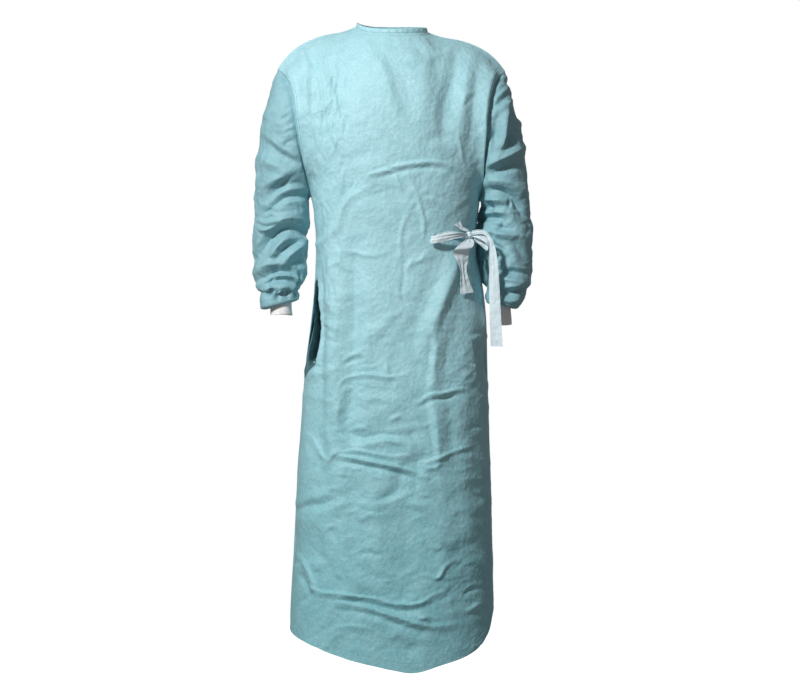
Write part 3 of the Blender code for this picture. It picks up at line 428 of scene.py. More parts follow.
# The deep tuck below the right arm, where the front's edge stands over the side, in pixels of the
# camera's frame: the front's edge, the outline beyond it, and how far the cloth goes in
Tuck = namedtuple("Tuck", "down edge outline depth")
SIDE_TUCK = [
    Tuck(276, 316.6, 315.6, 0.000),
    Tuck(284, 316.8, 314.9, 0.030),
    Tuck(303, 317.3, 311.4, 0.085),
    Tuck(327, 318.2, 308.2, 0.110),
    Tuck(345, 317.7, 306.4, 0.112),
    Tuck(360, 316.2, 305.2, 0.095),
    Tuck(370, 315.2, 304.4, 0.040),
    Tuck(381, 314.2, 303.6, 0.000),
]


def material(name, colour, roughness, sheen):
    made = bpy.data.materials.new(name)
    made.use_nodes = True
    shader = made.node_tree.nodes["Principled BSDF"]
    shader.inputs["Base Color"].default_value = (*colour, 1)
    shader.inputs["Roughness"].default_value = roughness
    shader.inputs["Sheen Weight"].default_value = sheen
    shader.inputs["Specular IOR Level"].default_value = 0.35
    return made, made.node_tree, shader


def node(tree, kind, place, **settings):
    made = tree.nodes.new(kind)
    made.location = place
    for name, value in settings.items():
        setattr(made, name, value)
    return made


def nonwoven(name, light, deep, grain):
    """Spun nonwoven cloth: cloudy fibres, a fine pebbled print of the bonding roll, and paper-like creases.
    The colour goes darker towards the hem, as painted shade."""
    made, tree, shader = material(name, light, 0.58, 0.06)
    where = node(tree, "ShaderNodeTexCoord", (-1900, 0))
    apart = node(tree, "ShaderNodeSeparateXYZ", (-1700, 500))
    tree.links.new(where.outputs["Object"], apart.inputs[0])
    # Painted shade: from the waist down to the hem the colour moves towards the deep one
    lower = node(tree, "ShaderNodeMapRange", (-1500, 500))
    lower.inputs["From Min"].default_value = -0.55
    lower.inputs["From Max"].default_value = -1.15
    tree.links.new(apart.outputs["Z"], lower.inputs["Value"])
    noises = []
    for scale, detail, low, high in ((38, 5, 0.34, 0.66), (grain / 2, 2, 0.34, 0.66)):
        cloud = node(tree, "ShaderNodeTexNoise", (-1500, 250 - 250 * len(noises)))
        cloud.inputs["Scale"].default_value = scale
        cloud.inputs["Detail"].default_value = detail
        spread = node(tree, "ShaderNodeMapRange", (-1300, 250 - 250 * len(noises)))
        spread.inputs["From Min"].default_value = low
        spread.inputs["From Max"].default_value = high
        tree.links.new(where.outputs["Object"], cloud.inputs["Vector"])
        tree.links.new(cloud.outputs["Fac"], spread.inputs["Value"])
        noises.append(spread)
    shares = [(lower, 0.52), (noises[0], 0.18), (noises[1], 0.30)]
    total = None
    for share, weight in shares:
        part = node(tree, "ShaderNodeMath", (-1050, 500), operation="MULTIPLY_ADD")
        part.inputs[1].default_value = weight
        part.inputs[2].default_value = 0.0
        tree.links.new(share.outputs[0], part.inputs[0])
        if total:
            tree.links.new(total.outputs[0], part.inputs[2])
        total = part
    mottle_and_painted_shade = node(tree, "ShaderNodeMix", (-500, 300), data_type="RGBA")
    mottle_and_painted_shade.inputs[6].default_value = (*light, 1)
    mottle_and_painted_shade.inputs[7].default_value = (*deep, 1)
    tree.links.new(total.outputs[0], mottle_and_painted_shade.inputs[0])
    tree.links.new(mottle_and_painted_shade.outputs[2], shader.inputs["Base Color"])

    bent = node(tree, "ShaderNodeTexNoise", (-1700, -400))
    bent.inputs["Scale"].default_value = 14
    bent.inputs["Detail"].default_value = 2
    tree.links.new(where.outputs["Object"], bent.inputs["Vector"])
    moved = node(tree, "ShaderNodeVectorMath", (-1500, -400), operation="MULTIPLY_ADD")
    moved.inputs[1].default_value = (0.035, 0.035, 0.035)
    tree.links.new(bent.outputs["Color"], moved.inputs[0])
    tree.links.new(where.outputs["Object"], moved.inputs[2])
    normal = None
    for scale, strength, depth in ((34, 0.24, 0.0050), (95, 0.42, 0.0022), (grain, 0.6, 0.0008)):
        if scale == grain:
            folds = node(tree, "ShaderNodeTexNoise", (-1200, -900))
            folds.inputs["Detail"].default_value = 2
            tree.links.new(where.outputs["Object"], folds.inputs["Vector"])
        else:
            folds = node(tree, "ShaderNodeTexVoronoi", (-1200, -300 - 3 * scale))
            tree.links.new(moved.outputs[0], folds.inputs["Vector"])
        folds.inputs["Scale"].default_value = scale
        bump = node(tree, "ShaderNodeBump", (-300 - 3 * scale, -300))
        bump.inputs["Strength"].default_value = strength
        bump.inputs["Distance"].default_value = depth
        tree.links.new(folds.outputs[0], bump.inputs["Height"])
        if normal:
            tree.links.new(normal.outputs[0], bump.inputs["Normal"])
        normal = bump
    tree.links.new(normal.outputs[0], shader.inputs["Normal"])
    return made


gown_cloth = nonwoven("gown_cloth", (0.415, 0.675, 0.735), (0.175, 0.440, 0.485), 520)


def grid_normals(outer, tube):
    if tube:
        sideways = np.roll(outer, -1, axis=1) - np.roll(outer, 1, axis=1)
    else:
        sideways = np.gradient(outer, axis=1)
    return unit(np.cross(sideways, np.gradient(outer, axis=0)))


def inner_face(outer, thickness, tube, step):
    """The inner side of the cloth, on every so many rows and columns, deep enough to stay behind each crease."""
    normals = grid_normals(outer, tube)
    deeper = np.zeros(outer.shape[:2])
    for i in range(-step, step + 1):
        for j in range(-step, step + 1):
            beside = np.roll(outer, (i, j), axis=(0, 1))
            drop = ((outer - beside) * normals).sum(axis=-1)
            near = np.linalg.norm(outer - beside, axis=-1) < 0.03
            deeper = np.maximum(deeper, np.where(near, drop, 0.0))
    deeper[0] = deeper[-1] = 0.0
    if not tube:
        deeper[:, 0] = deeper[:, -1] = 0.0
    inner = outer - normals * (thickness + np.minimum(deeper, 0.009) * (step > 1))[..., None]
    return inner[::step, ::step]


def shell(name, outer, thickness, finish, tube=False, step=1):
    """A thin shell of cloth: the grid of its outer face, a grid of every so many of its points moved in, and the
    rims that join them."""
    rows, columns = outer.shape[:2]
    count = rows * columns
    inner = inner_face(outer, thickness, tube, step)
    in_rows, in_columns = inner.shape[:2]
    faces = []
    for start, height, width, across, flip in (
        (0, rows, columns, columns if tube else columns - 1, False),
        (count, in_rows, in_columns, in_columns if tube else in_columns - 1, True),
    ):
        i, j = np.meshgrid(np.arange(height - 1), np.arange(across), indexing="ij")
        a, b = start + i * width + j, start + i * width + (j + 1) % width
        face = np.stack([a, b, b + width, a + width], axis=-1).reshape(-1, 4)
        faces += (face[:, ::-1] if flip else face).tolist()

    def rim(fine, coarse):
        """Joins one edge of the outer face to the coarser edge of the inner one, in faces of a few sides."""
        for k in range(len(coarse) - 1):
            strip = fine[k * step : (k + 1) * step + 1]
            faces.append([*strip[::-1], coarse[k], coarse[k + 1]])

    across = [*range(columns), 0] if tube else [*range(columns)]
    in_across = [*range(in_columns), 0] if tube else [*range(in_columns)]
    last, in_last = (rows - 1) * columns, count + (in_rows - 1) * in_columns
    rim(across, [count + j for j in in_across])
    rim([last + j for j in across[::-1]], [in_last + j for j in in_across[::-1]])
    if not tube:
        right, in_right = columns - 1, count + in_columns - 1
        rim([i * columns for i in range(rows)][::-1], [count + i * in_columns for i in range(in_rows)][::-1])
        rim([right + i * columns for i in range(rows)], [in_right + i * in_columns for i in range(in_rows)])
    mesh = bpy.data.meshes.new(name)
    points = np.concatenate([outer.reshape(-1, 3), inner.reshape(-1, 3)])
    mesh.from_pydata(points.tolist(), [], faces)
    mesh.materials.append(finish)
    mesh.shade_smooth()
    mesh.set_sharp_from_angle(angle=math.radians(70))
    made = bpy.data.objects.new(name, mesh)
    bpy.context.scene.collection.objects.link(made)
    return made


def crowded(count, places, width, closer):
    """Steps from 0 to 1 that lie closer together near some places."""
    even = np.linspace(0, 1, 2001)
    dense = np.cumsum(1 + closer * sum(np.exp(-(((even - place) / width) ** 2)) for place in places))
    return np.interp(np.linspace(0, 1, count + 1), (dense - dense[0]) / (dense[-1] - dense[0]), even)


def grid(columns, skirt_rows, yoke_rows, at_tuck=0.0, at_creases=0.0):
    """Turns across a panel and rises up it, closer together at the tuck and the three sharp cross creases."""
    skirt = crowded(skirt_rows, (0.143, 0.418, 0.600), 0.034, at_creases)
    rise = np.concatenate([skirt, 1 + np.linspace(0, 1, yoke_rows + 1)[1:]])
    return crowded(columns, (0.155,), 0.03, at_tuck)[None, :], rise[:, None]


EDGE_HEIGHT = 0.0085


def seam_fade(turn, rise):
    """No crease moves the cloth at the sides, armholes and shoulders, where the pieces are sewn."""
    from_side = np.minimum(np.mod(turn, 1.0), 1.0 - np.mod(turn, 1.0))
    at_side = smooth(from_side / mix(0.022, 0.035, smooth((rise - 1.0) * 12)))
    return at_side * np.where(rise > 1.0, smooth((2.0 - rise) / 0.10), 1.0)


def armhole_edge(turn, rise):
    """The front's edge stands a little over the sleeve that is sewn behind it."""
    from_seam = np.minimum(turn, 1.0 - turn)
    ridge = smooth(from_seam / 0.012) * np.exp(-((from_seam / 0.035) ** 2))
    return EDGE_HEIGHT * ridge * smooth((rise - 0.97) * 14) * smooth((1.96 - rise) * 8)


def side_tuck(across, down, turn):
    """How far back the tuck takes the cloth, and which faces inside it get painted shade."""
    edge, outline = read(SIDE_TUCK, "edge", down), read(SIDE_TUCK, "outline", down)
    inward = (edge - across) / np.maximum(edge - outline, 1.0)
    slant = np.clip((381 - down - 1.5 * (across - 306)) / 9, 0, 1) * (turn < 0.3)
    depth = read(SIDE_TUCK, "depth", down)
    profile = smooth(inward / 0.16) * (1 - smooth((inward - 0.1) / 0.9)) ** 0.7
    return depth * profile * smooth(slant), (inward > 0.1) & (inward < 1.0) & (depth > 0.01) & (slant > 0.5)


def softened(points, times):
    """The grid with its small kinks ironed out. Its edges stay."""
    points = points.copy()
    for _ in range(times):
        points[1:-1, 1:-1] = (points[:-2, 1:-1] + points[2:, 1:-1] + points[1:-1, :-2] + points[1:-1, 2:]) / 4
    return points


turn_of_front, rise_of_front = np.broadcast_arrays(*grid(FRONT_COLUMNS, SKIRT_ROWS, YOKE_ROWS, 2.2, 1.4))
plain = softened(plain_body(turn_of_front, rise_of_front, 0), 90)
out = unit(softened(body_normals(turn_of_front, rise_of_front, 0), 90))
across, down = seen_at(plain)
front_small = (
    scattered_creases(3, 110, (310, 70, 345, 320), (10, 34), (1.0, 1.7), (0.5, 1.7), 84, 12)
    + scattered_creases(5, 150, (345, 60, 480, 300), (5, 18), (1.0, 1.7), (0.2, 0.8), 60, 60)
    + scattered_creases(7, 240, (315, 290, 490, 520), (6, 26), (1.1, 1.7), (0.4, 1.3), 12, 24)
    + scattered_creases(9, 160, (300, 500, 495, 665), (6, 30), (1.1, 1.7), (0.3, 1.2), 8, 28)
)
height = crease_field(across, down, FRONT_CREASES + front_small)
height = height + sum(crumpled(across, down, stretch) for stretch in FRONT_CRUMPLES)
height = height * seam_fade(turn_of_front, rise_of_front) + armhole_edge(turn_of_front, rise_of_front)
front_grid = plain + out * height[..., None]
moved_back, painted_shade_faces = side_tuck(across, down, turn_of_front)
front_grid[..., 1] += moved_back
front = shell("front_panel", front_grid, CLOTH, gown_cloth, step=3)
# The faces deep inside the tuck get a near-black copy of the cloth: painted shade
front.data.materials.append(nonwoven("tuck_painted_shade_cloth", (0.075, 0.165, 0.180), (0.045, 0.115, 0.130), 520))
finishes = np.zeros(len(front.data.polygons), int)
finishes[: painted_shade_faces[1:, 1:].size] = painted_shade_faces[1:, 1:].ravel()
front.data.polygons.foreach_set("material_index", finishes)
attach(front, "root")
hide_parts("front")


# Backs: two panels sewn to the front at the sides and shoulders. The wearer's right one laps over the
# left one as far as the wearer's left side, and hangs there with a free edge from neck to hem.
UNDER_BACK_TURN = 1 + 14 / 24
FLAP_PLAIN_TURN = 1 + 16 / 24
FLAP_EDGE_NECK = 8 / 24
FLAP_EDGE_LOW = 5 / 24
FLAP_LIFT = 0.0036
BACK_CREASES = [
    Crease(-6, 8, 0.0, ((350, 60), (330, 110), (322, 175))),
    Crease(-6, 8, 0.0, ((432, 60), (452, 110), (462, 175))),
    Crease(5, 10, 0.0, ((376, 80), (370, 140), (372, 215))),
    Crease(-4, 7, 0.0, ((404, 90), (408, 150), (404, 215))),
    Crease(-9, 9, 0.2, ((334, 222), (328, 320), (324, 420), (322, 560))),
    Crease(9, 10, 0.0, ((354, 226), (350, 330), (347, 440), (348, 610))),
    Crease(-9, 9, 0.0, ((375, 222), (373, 330), (372, 460), (374, 600))),
    Crease(9, 10, -0.2, ((399, 226), (400, 340), (402, 470), (400, 610))),
    Crease(-8, 9, 0.0, ((422, 222), (426, 330), (430, 440), (432, 560))),
    Crease(7, 9, 0.0, ((446, 234), (452, 330), (458, 420), (460, 540))),
    Crease(3, 3, 0.3, ((330, 196), (362, 204), (400, 200), (444, 192))),
    Crease(-3, 3, 0.0, ((332, 232), (366, 238), (410, 236), (450, 230))),
    Crease(3, 2.6, 0.3, ((340, 386), (376, 396), (412, 390))),
    Crease(-3, 2.8, 0.0, ((372, 500), (410, 508), (446, 498))),
    Crease(3, 3.0, 0.3, ((328, 566), (368, 576), (404, 570))),
]


def back_surface(turn, rise, panel_creases):
    plain = softened(plain_body(turn, rise, 1), 60)
    out = unit(softened(body_normals(turn, rise, 1), 60))
    across, down = seen_at(plain)
    height = crease_field(across, down, panel_creases)
    for wide, tall, lift, seed in ((14, 8, 0.0010, 51), (9, 16, 0.0009, 52), (40, 34, 0.0034, 53)):
        height = height + crumpled(across, down, Crumple(250, 20, 540, 680, wide, tall, lift, seed))
    facing = smooth(-np.sin(math.pi * turn) * 4)
    return plain + out * (height * seam_fade(turn, rise) * facing)[..., None], out


back_small = scattered_creases(13, 420, (318, 60, 470, 600), (10, 38), (1.5, 3.2), (0.25, 0.9), 20, 50)
side_turns, rise = grid(144, 168, 84)
under = 1 + side_turns * (UNDER_BACK_TURN - 1)
under, under_rise = np.broadcast_arrays(under, rise)
under_grid, _ = back_surface(under, under_rise, BACK_CREASES)
back_left = shell("back_left_panel", under_grid, CLOTH, gown_cloth, step=3)
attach(back_left, "root")
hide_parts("back_left")

flap_turns, rise = grid(225, 216, 108)
edge = 1 + mix(FLAP_EDGE_LOW, FLAP_EDGE_NECK, smooth(rise - 0.9))
over = edge + (2 - edge) * flap_turns
over, over_rise = np.broadcast_arrays(over, rise)
over_grid, over_out = back_surface(over, over_rise, BACK_CREASES + back_small)
level = unit(over_grid * (1, 1, 0))
way = unit(mix(over_out, level, smooth((over_rise - 1.75) * 4)[..., None]))
over_grid = over_grid + way * (FLAP_LIFT * smooth((FLAP_PLAIN_TURN - over) * 14))[..., None]
back_right = shell("back_right_panel", over_grid, CLOTH, gown_cloth, step=3)
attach(back_right, "root")
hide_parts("back_right")


# Sleeves: tubes of the same cloth, set into the armholes and bent a little at the elbow. The end is
# gathered, turned in and sewn to the knitted cuff inside it.
SLEEVE_DIP = 0.0075
SLEEVE_AROUND, SLEEVE_RINGS, TURNED_RINGS = 201, 246, 15
Ring = namedtuple("Ring", "share inner_x inner_z outer_x outer_z middle_y half_depth")
RIGHT_SLEEVE = [
    Ring(0.00, 0.1705, -0.355, 0.2450, -0.083, 0.000, 0.084),
    Ring(0.08, 0.1775, -0.364, 0.2620, -0.134, 0.000, 0.082),
    Ring(0.18, 0.1785, -0.373, 0.2780, -0.195, 0.000, 0.077),
    Ring(0.30, 0.1770, -0.387, 0.2875, -0.275, 0.001, 0.071),
    Ring(0.42, 0.1765, -0.407, 0.2930, -0.345, 0.002, 0.066),
    Ring(0.54, 0.1765, -0.435, 0.2970, -0.408, 0.000, 0.063),
    Ring(0.66, 0.1780, -0.468, 0.2990, -0.460, -0.005, 0.061),
    Ring(0.78, 0.1810, -0.506, 0.2990, -0.508, -0.013, 0.058),
    Ring(0.88, 0.1865, -0.538, 0.2950, -0.539, -0.021, 0.052),
    Ring(0.94, 0.1960, -0.556, 0.2850, -0.560, -0.026, 0.045),
    Ring(0.96, 0.2030, -0.560, 0.2770, -0.564, -0.028, 0.039),
    Ring(0.98, 0.1985, -0.570, 0.2815, -0.580, -0.029, 0.041),
    Ring(1.00, 0.1985, -0.579, 0.2800, -0.599, -0.030, 0.040),
]
LEFT_SLEEVE = [
    Ring(0.00, 0.1880, -0.355, 0.2425, -0.088, 0.000, 0.084),
    Ring(0.08, 0.1905, -0.364, 0.2530, -0.128, 0.000, 0.082),
    Ring(0.18, 0.1920, -0.374, 0.2640, -0.182, 0.000, 0.077),
    Ring(0.30, 0.1925, -0.389, 0.2810, -0.245, 0.000, 0.071),
    Ring(0.42, 0.1925, -0.408, 0.2900, -0.310, 0.000, 0.066),
    Ring(0.54, 0.1925, -0.436, 0.2955, -0.372, -0.003, 0.063),
    Ring(0.66, 0.1940, -0.468, 0.2980, -0.435, -0.010, 0.061),
    Ring(0.78, 0.1980, -0.504, 0.2980, -0.495, -0.020, 0.058),
    Ring(0.88, 0.2040, -0.538, 0.2940, -0.540, -0.031, 0.053),
    Ring(0.94, 0.2035, -0.558, 0.2850, -0.568, -0.038, 0.049),
    Ring(0.97, 0.2005, -0.572, 0.2770, -0.585, -0.042, 0.046),
    Ring(1.00, 0.2005, -0.585, 0.2680, -0.598, -0.045, 0.042),
]
Cuff = namedtuple("Cuff", "x y top bottom")
RIGHT_CUFF = Cuff(-0.235, -0.030, -0.572, -0.612)
LEFT_CUFF = Cuff(0.2300, -0.047, -0.570, -0.634)
CUFF_HALF_WIDTH = 0.0210
CUFF_HALF_DEPTH = 0.0290
RIGHT_SLEEVE_CREASES = [
    Crease(-6, 3, 0.0, ((276, 62), (281, 72), (287, 86))),
    Crease(5, 3, 0.0, ((273, 70), (275, 76), (279, 84))),
    Crease(-5, 1.7, 0.0, ((294, 102), (284, 111))),
    Crease(5, 1.8, 0.0, ((291, 109), (282, 117))),
    Crease(-5, 1.7, 0.0, ((289, 114), (279, 121))),
    Crease(-5, 1.7, 0.0, ((296, 120), (287, 126))),
    Crease(5, 1.8, 0.0, ((297, 124), (284, 131))),
    Crease(-4, 1.7, 0.0, ((297, 129), (286, 131))),
    Crease(-5, 2.2, 0.0, ((299, 140), (290, 141), (283, 145))),
    Crease(-9, 5.5, 0.4, ((258, 136), (273, 149), (286, 157), (304, 164))),
    Crease(7, 4.5, 0.0, ((262, 158), (276, 165), (290, 168))),
    Crease(-6, 3, 0.0, ((302, 172), (290, 176), (280, 186), (270, 194))),
    Crease(7, 4, -0.3, ((264, 186), (276, 180), (290, 174), (303, 171))),
    Crease(-9, 5, 0.2, ((256, 202), (264, 197), (275, 189), (290, 184), (306, 183))),
    Crease(-15, 4.6, -0.4, ((255, 217), (264, 212), (275, 204), (286, 198), (299, 196), (313, 195))),
    Crease(9, 4, 0.3, ((258, 208), (268, 204), (280, 194), (294, 189), (308, 190))),
    Crease(-5, 1.8, 0.0, ((256, 216), (263, 219), (270, 217), (277, 221))),
    Crease(4, 1.6, 0.0, ((258, 220), (266, 223), (272, 220), (280, 223))),
    Crease(-4, 1.6, 0.0, ((257, 224), (264, 227), (272, 226), (279, 222))),
    Crease(5, 1.8, 0.0, ((258, 229), (266, 231), (274, 228))),
    Crease(-4, 1.6, 0.0, ((262, 213), (268, 210), (275, 212))),
    Crease(-16, 4.8, 0.45, ((250, 266), (260, 249), (268, 238), (280, 230), (290, 228), (303, 231), (313, 235))),
    Crease(10, 4.2, 0.0, ((256, 240), (263, 230), (276, 222), (292, 218), (309, 222))),
    Crease(9, 2.8, 0.0, ((291, 233), (279, 245), (270, 259))),
    Crease(-10, 3.0, 0.0, ((303, 242), (290, 245), (277, 256))),
    Crease(9, 2.6, 0.0, ((308, 240), (295, 251), (281, 265))),
    Crease(-10, 5, 0.0, ((312, 250), (300, 260), (288, 266))),
    Crease(-15, 4.2, -0.4, ((252, 283), (262, 278), (272, 272), (282, 271), (292, 272), (301, 277))),
    Crease(9, 3.6, 0.0, ((254, 272), (266, 266), (280, 264), (294, 266))),
    Crease(-11, 2.8, 0.0, ((261, 285), (270, 281), (280, 280), (291, 281), (302, 286))),
    Crease(7, 2.4, 0.0, ((262, 293), (272, 288), (286, 287), (297, 292))),
    Crease(-6, 1.9, 0.0, ((266, 300), (271, 291), (277, 286))),
    Crease(6, 1.9, 0.0, ((271, 301), (276, 293), (283, 287))),
    Crease(-5, 1.9, 0.0, ((290, 286), (287, 294), (291, 303))),
    Crease(-5, 1.9, 0.0, ((280, 291), (278, 297), (281, 304))),
]
LEFT_SLEEVE_CREASES = [
    Crease(-5, 2.6, 0.0, ((505, 72), (500, 78), (494, 87), (492, 94))),
    Crease(-5, 1.8, 0.0, ((506, 85), (492, 95))),
    Crease(5, 1.8, 0.0, ((509, 88), (494, 99))),
    Crease(-10, 3.0, 0.0, ((489, 95), (494, 107), (502, 101), (509, 93))),
    Crease(10, 2.6, 0.3, ((489, 115), (497, 108), (511, 101))),
    Crease(-7, 2.4, 0.0, ((490, 117), (501, 124))),
    Crease(-18, 6.5, 0.0, ((496, 121), (494, 132), (493, 144))),
    Crease(14, 3.0, 0.3, ((508, 104), (504, 124), (503, 140), (500, 152))),
    Crease(-12, 4.2, 0.0, ((516, 130), (512, 139), (511, 148))),
    Crease(9, 3.2, 0.0, ((519, 118), (517, 130), (519, 142))),
    Crease(14, 3.4, 0.4, ((523, 148), (508, 156), (497, 161), (485, 167))),
    Crease(-10, 4.0, 0.0, ((526, 160), (506, 168), (486, 175))),
    Crease(-15, 4.0, 0.4, ((482, 190), (499, 190), (512, 197), (521, 209), (527, 222))),
    Crease(9, 3.6, 0.0, ((485, 181), (500, 181), (517, 187), (526, 198))),
    Crease(11, 3.4, 0.0, ((484, 200), (498, 199), (510, 201), (517, 210))),
    Crease(-5, 1.8, 0.0, ((510, 198), (509, 208))),
    Crease(-12, 4.4, 0.0, ((481, 208), (495, 208))),
    Crease(-14, 3.2, 0.0, ((479, 219), (494, 217), (506, 219))),
    Crease(8, 3.0, 0.0, ((484, 213), (496, 213), (507, 214))),
    Crease(-6, 1.9, 0.0, ((506, 218), (499, 229), (490, 239))),
    Crease(-7, 2.6, 0.0, ((487, 223), (500, 227), (517, 229))),
    Crease(8, 2.8, 0.0, ((485, 231), (500, 234), (520, 237))),
    Crease(-6, 2.0, 0.0, ((491, 244), (504, 250))),
    Crease(6, 2.0, 0.0, ((492, 249), (506, 255))),
    Crease(-6, 2.0, 0.0, ((492, 254), (507, 259))),
    Crease(-8, 4.6, 0.0, ((511, 238), (521, 250), (528, 264))),
    Crease(-14, 3.4, 0.3, ((494, 270), (512, 271), (530, 274))),
    Crease(9, 2.8, 0.0, ((496, 276), (509, 281), (526, 283))),
    Crease(-11, 2.6, 0.0, ((496, 291), (512, 292), (526, 289))),
    Crease(8, 2.4, 0.0, ((498, 285), (512, 287), (526, 284))),
    Crease(7, 2.4, 0.0, ((498, 300), (510, 302), (521, 297))),
]


def armhole(side, turn):
    t = np.where(turn <= 1.0, turn, 2.0 - turn)
    share = yoke_share(t)
    x = read(ARMHOLE, "right" if side < 0 else "left", share)
    y = np.where(turn <= 1.0, read(ARMHOLE, "front", share), read(ARMHOLE, "back", share))
    return np.stack([x, y, mix(ARMPIT_Z, TIP_RIGHT_Z if side < 0 else TIP_LEFT_Z, share)], axis=-1)


def plain_sleeve(side, turn, share):
    """A sleeve with no creases. Turn goes round from the inner arm over the front; share goes down the arm."""
    rows = RIGHT_SLEEVE if side < 0 else LEFT_SLEEVE
    cuff = RIGHT_CUFF if side < 0 else LEFT_CUFF
    turn, share = np.broadcast_arrays(turn, share)
    around = np.mod(turn + 2.0, 2.0)
    cosine, sine = np.cos(math.pi * around), np.sin(math.pi * around)
    down = np.clip(share, 0.0, 1.0)
    inner_x, outer_x = read(rows, "inner_x", down), read(rows, "outer_x", down)
    inner_z, outer_z = read(rows, "inner_z", down), read(rows, "outer_z", down)
    tube = np.stack(
        [
            side * ((inner_x + outer_x) / 2 - (outer_x - inner_x) / 2 * cosine),
            read(rows, "middle_y", down) - read(rows, "half_depth", down) * sine,
            (inner_z + outer_z) / 2 - (outer_z - inner_z) / 2 * cosine,
        ],
        axis=-1,
    )
    tube = mix(armhole(side, around), tube, smooth(down / 0.10)[..., None])
    wrist = np.stack(
        [
            cuff.x - side * (CUFF_HALF_WIDTH + 0.0006) * cosine,
            cuff.y - (CUFF_HALF_DEPTH + 0.0006) * sine,
            np.full(around.shape, cuff.top - 0.001),
        ],
        axis=-1,
    )
    turned = np.clip(share - 1.0, 0.0, 1.0)
    inward = np.sin(math.pi / 2 * turned)
    end = mix(tube, wrist, np.stack([inward, inward, turned**2], axis=-1))
    end[..., 2] -= 0.005 * np.sin(math.pi * turned)
    return end


def sleeve_normals(side, turn, share):
    step = 1e-3
    before, after = np.maximum(share - step, 0.0), np.minimum(share + step, 2.0)
    slope = plain_sleeve(side, turn, after) - plain_sleeve(side, turn, before)
    across = plain_sleeve(side, turn + step, share) - plain_sleeve(side, turn - step, share)
    return -side * unit(np.cross(across, slope))


def turned_over(creases, shift):
    """The like of these creases for the back of a sleeve, where the front view can't see them."""
    made = []
    for i, crease in enumerate(creases):
        if crease.width < 3:
            continue
        points = [(x + 2 * math.sin(i * 2.1), y + shift + 4 * math.sin(i * 1.7)) for x, y in crease.points]
        made.append(crease._replace(height=crease.height * (0.75 + 0.2 * math.sin(i * 3.3)), points=points))
    return made


# The sleeves get a darker copy of the gown's cloth: painted shade
sleeve_painted_shade_cloth = nonwoven("sleeve_painted_shade_cloth", (0.275, 0.480, 0.535), (0.150, 0.380, 0.420), 520)
sleeve_turn = np.linspace(0, 2, SLEEVE_AROUND + 1)[None, :-1]
sleeve_share = np.concatenate([np.linspace(0, 1, SLEEVE_RINGS + 1), 1 + np.linspace(0, 1, TURNED_RINGS + 1)[1:]])
sleeve_turn, sleeve_share = np.broadcast_arrays(sleeve_turn, sleeve_share[:, None])
sleeve_grids = {}
for side, label, creases, seed in (
    (-1, "right", RIGHT_SLEEVE_CREASES, 21),
    (1, "left", LEFT_SLEEVE_CREASES, 23),
):
    plain = plain_sleeve(side, sleeve_turn, sleeve_share)
    out = sleeve_normals(side, sleeve_turn, sleeve_share)
    across, down = seen_at(plain)
    facing = np.sin(math.pi * sleeve_turn)
    box = (across.min(), 60, across.max(), 300)
    small = scattered_creases(seed, 210, box, (8, 26), (1.4, 2.8), (0.3, 1.1), 15, 40)
    rear = scattered_creases(seed + 1, 210, box, (8, 26), (1.4, 2.8), (0.3, 1.1), 15, 40)
    height = smooth(facing * 2.2 + 0.5) * crease_field(across, down, creases + small)
    height = height + smooth(-facing * 2.2 + 0.5) * crease_field(across, down, turned_over(creases, 7) + rear)
    for wide, tall, lift in ((12, 7, 0.0014), (32, 22, 0.0030)):
        stretch = Crumple(200, 20, 600, 400, wide, tall, lift, seed + wide)
        height = height + crumpled(across + 60 * facing, down, stretch)
    if side > 0:
        # The left arm's cloth lies in folds against the side of the body
        inner_rear = np.exp(-(((sleeve_turn - 1.86) / 0.10) ** 2))
        height = height + 0.023 * inner_rear * smooth((sleeve_share - 0.20) / 0.32) * smooth((0.95 - sleeve_share) / 0.1)
    keep = smooth(sleeve_share / 0.11) * smooth((1.0 - sleeve_share) / 0.03)
    behind_front = SLEEVE_DIP * np.exp(-(((sleeve_share - 0.022) / 0.022) ** 2)) * smooth(facing * 3 - 0.3)
    sleeve_grids[side] = plain + out * (height * keep - behind_front * smooth(sleeve_share / 0.01))[..., None]
    around_arm = sleeve_grids[side][:, ::-side]
    sleeve = shell(f"sleeve_{label}_panel", around_arm, CLOTH, sleeve_painted_shade_cloth, tube=True, step=3)
    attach(sleeve, "root")
    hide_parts(f"sleeve_{label}")


# Cuffs: short tubes of white rib knit that grip the wrist. Their tops are tucked up inside the
# sleeves and sewn to the gathered ends.
CUFF_FLARE = 0.0026
KNIT = 0.0013
CUFF_RIBS, RIB_COLUMNS, CUFF_ROWS = 54, 6, 18
RIB_HEIGHT = 0.00055


def knitted(name):
    """White cotton knit: a loose fuzzy yarn with a small V of stitches up each rib."""
    made, tree, shader = material(name, (0.88, 0.87, 0.86), 0.9, 0.35)
    where = node(tree, "ShaderNodeTexCoord", (-1200, 0))
    rows = node(tree, "ShaderNodeTexWave", (-900, 100), bands_direction="Z")
    rows.inputs["Scale"].default_value = 190
    rows.inputs["Distortion"].default_value = 1.2
    rows.inputs["Detail"].default_value = 2
    fuzz = node(tree, "ShaderNodeTexNoise", (-900, -250))
    fuzz.inputs["Scale"].default_value = 900
    fuzz.inputs["Detail"].default_value = 4
    tree.links.new(where.outputs["Object"], rows.inputs["Vector"])
    tree.links.new(where.outputs["Object"], fuzz.inputs["Vector"])
    stitched = node(tree, "ShaderNodeBump", (-550, 100))
    stitched.inputs["Strength"].default_value = 0.6
    stitched.inputs["Distance"].default_value = 0.0005
    worn = node(tree, "ShaderNodeBump", (-300, -50))
    worn.inputs["Strength"].default_value = 0.4
    worn.inputs["Distance"].default_value = 0.0004
    tree.links.new(rows.outputs["Fac"], stitched.inputs["Height"])
    tree.links.new(fuzz.outputs["Fac"], worn.inputs["Height"])
    tree.links.new(stitched.outputs["Normal"], worn.inputs["Normal"])
    tree.links.new(worn.outputs["Normal"], shader.inputs["Normal"])
    return made


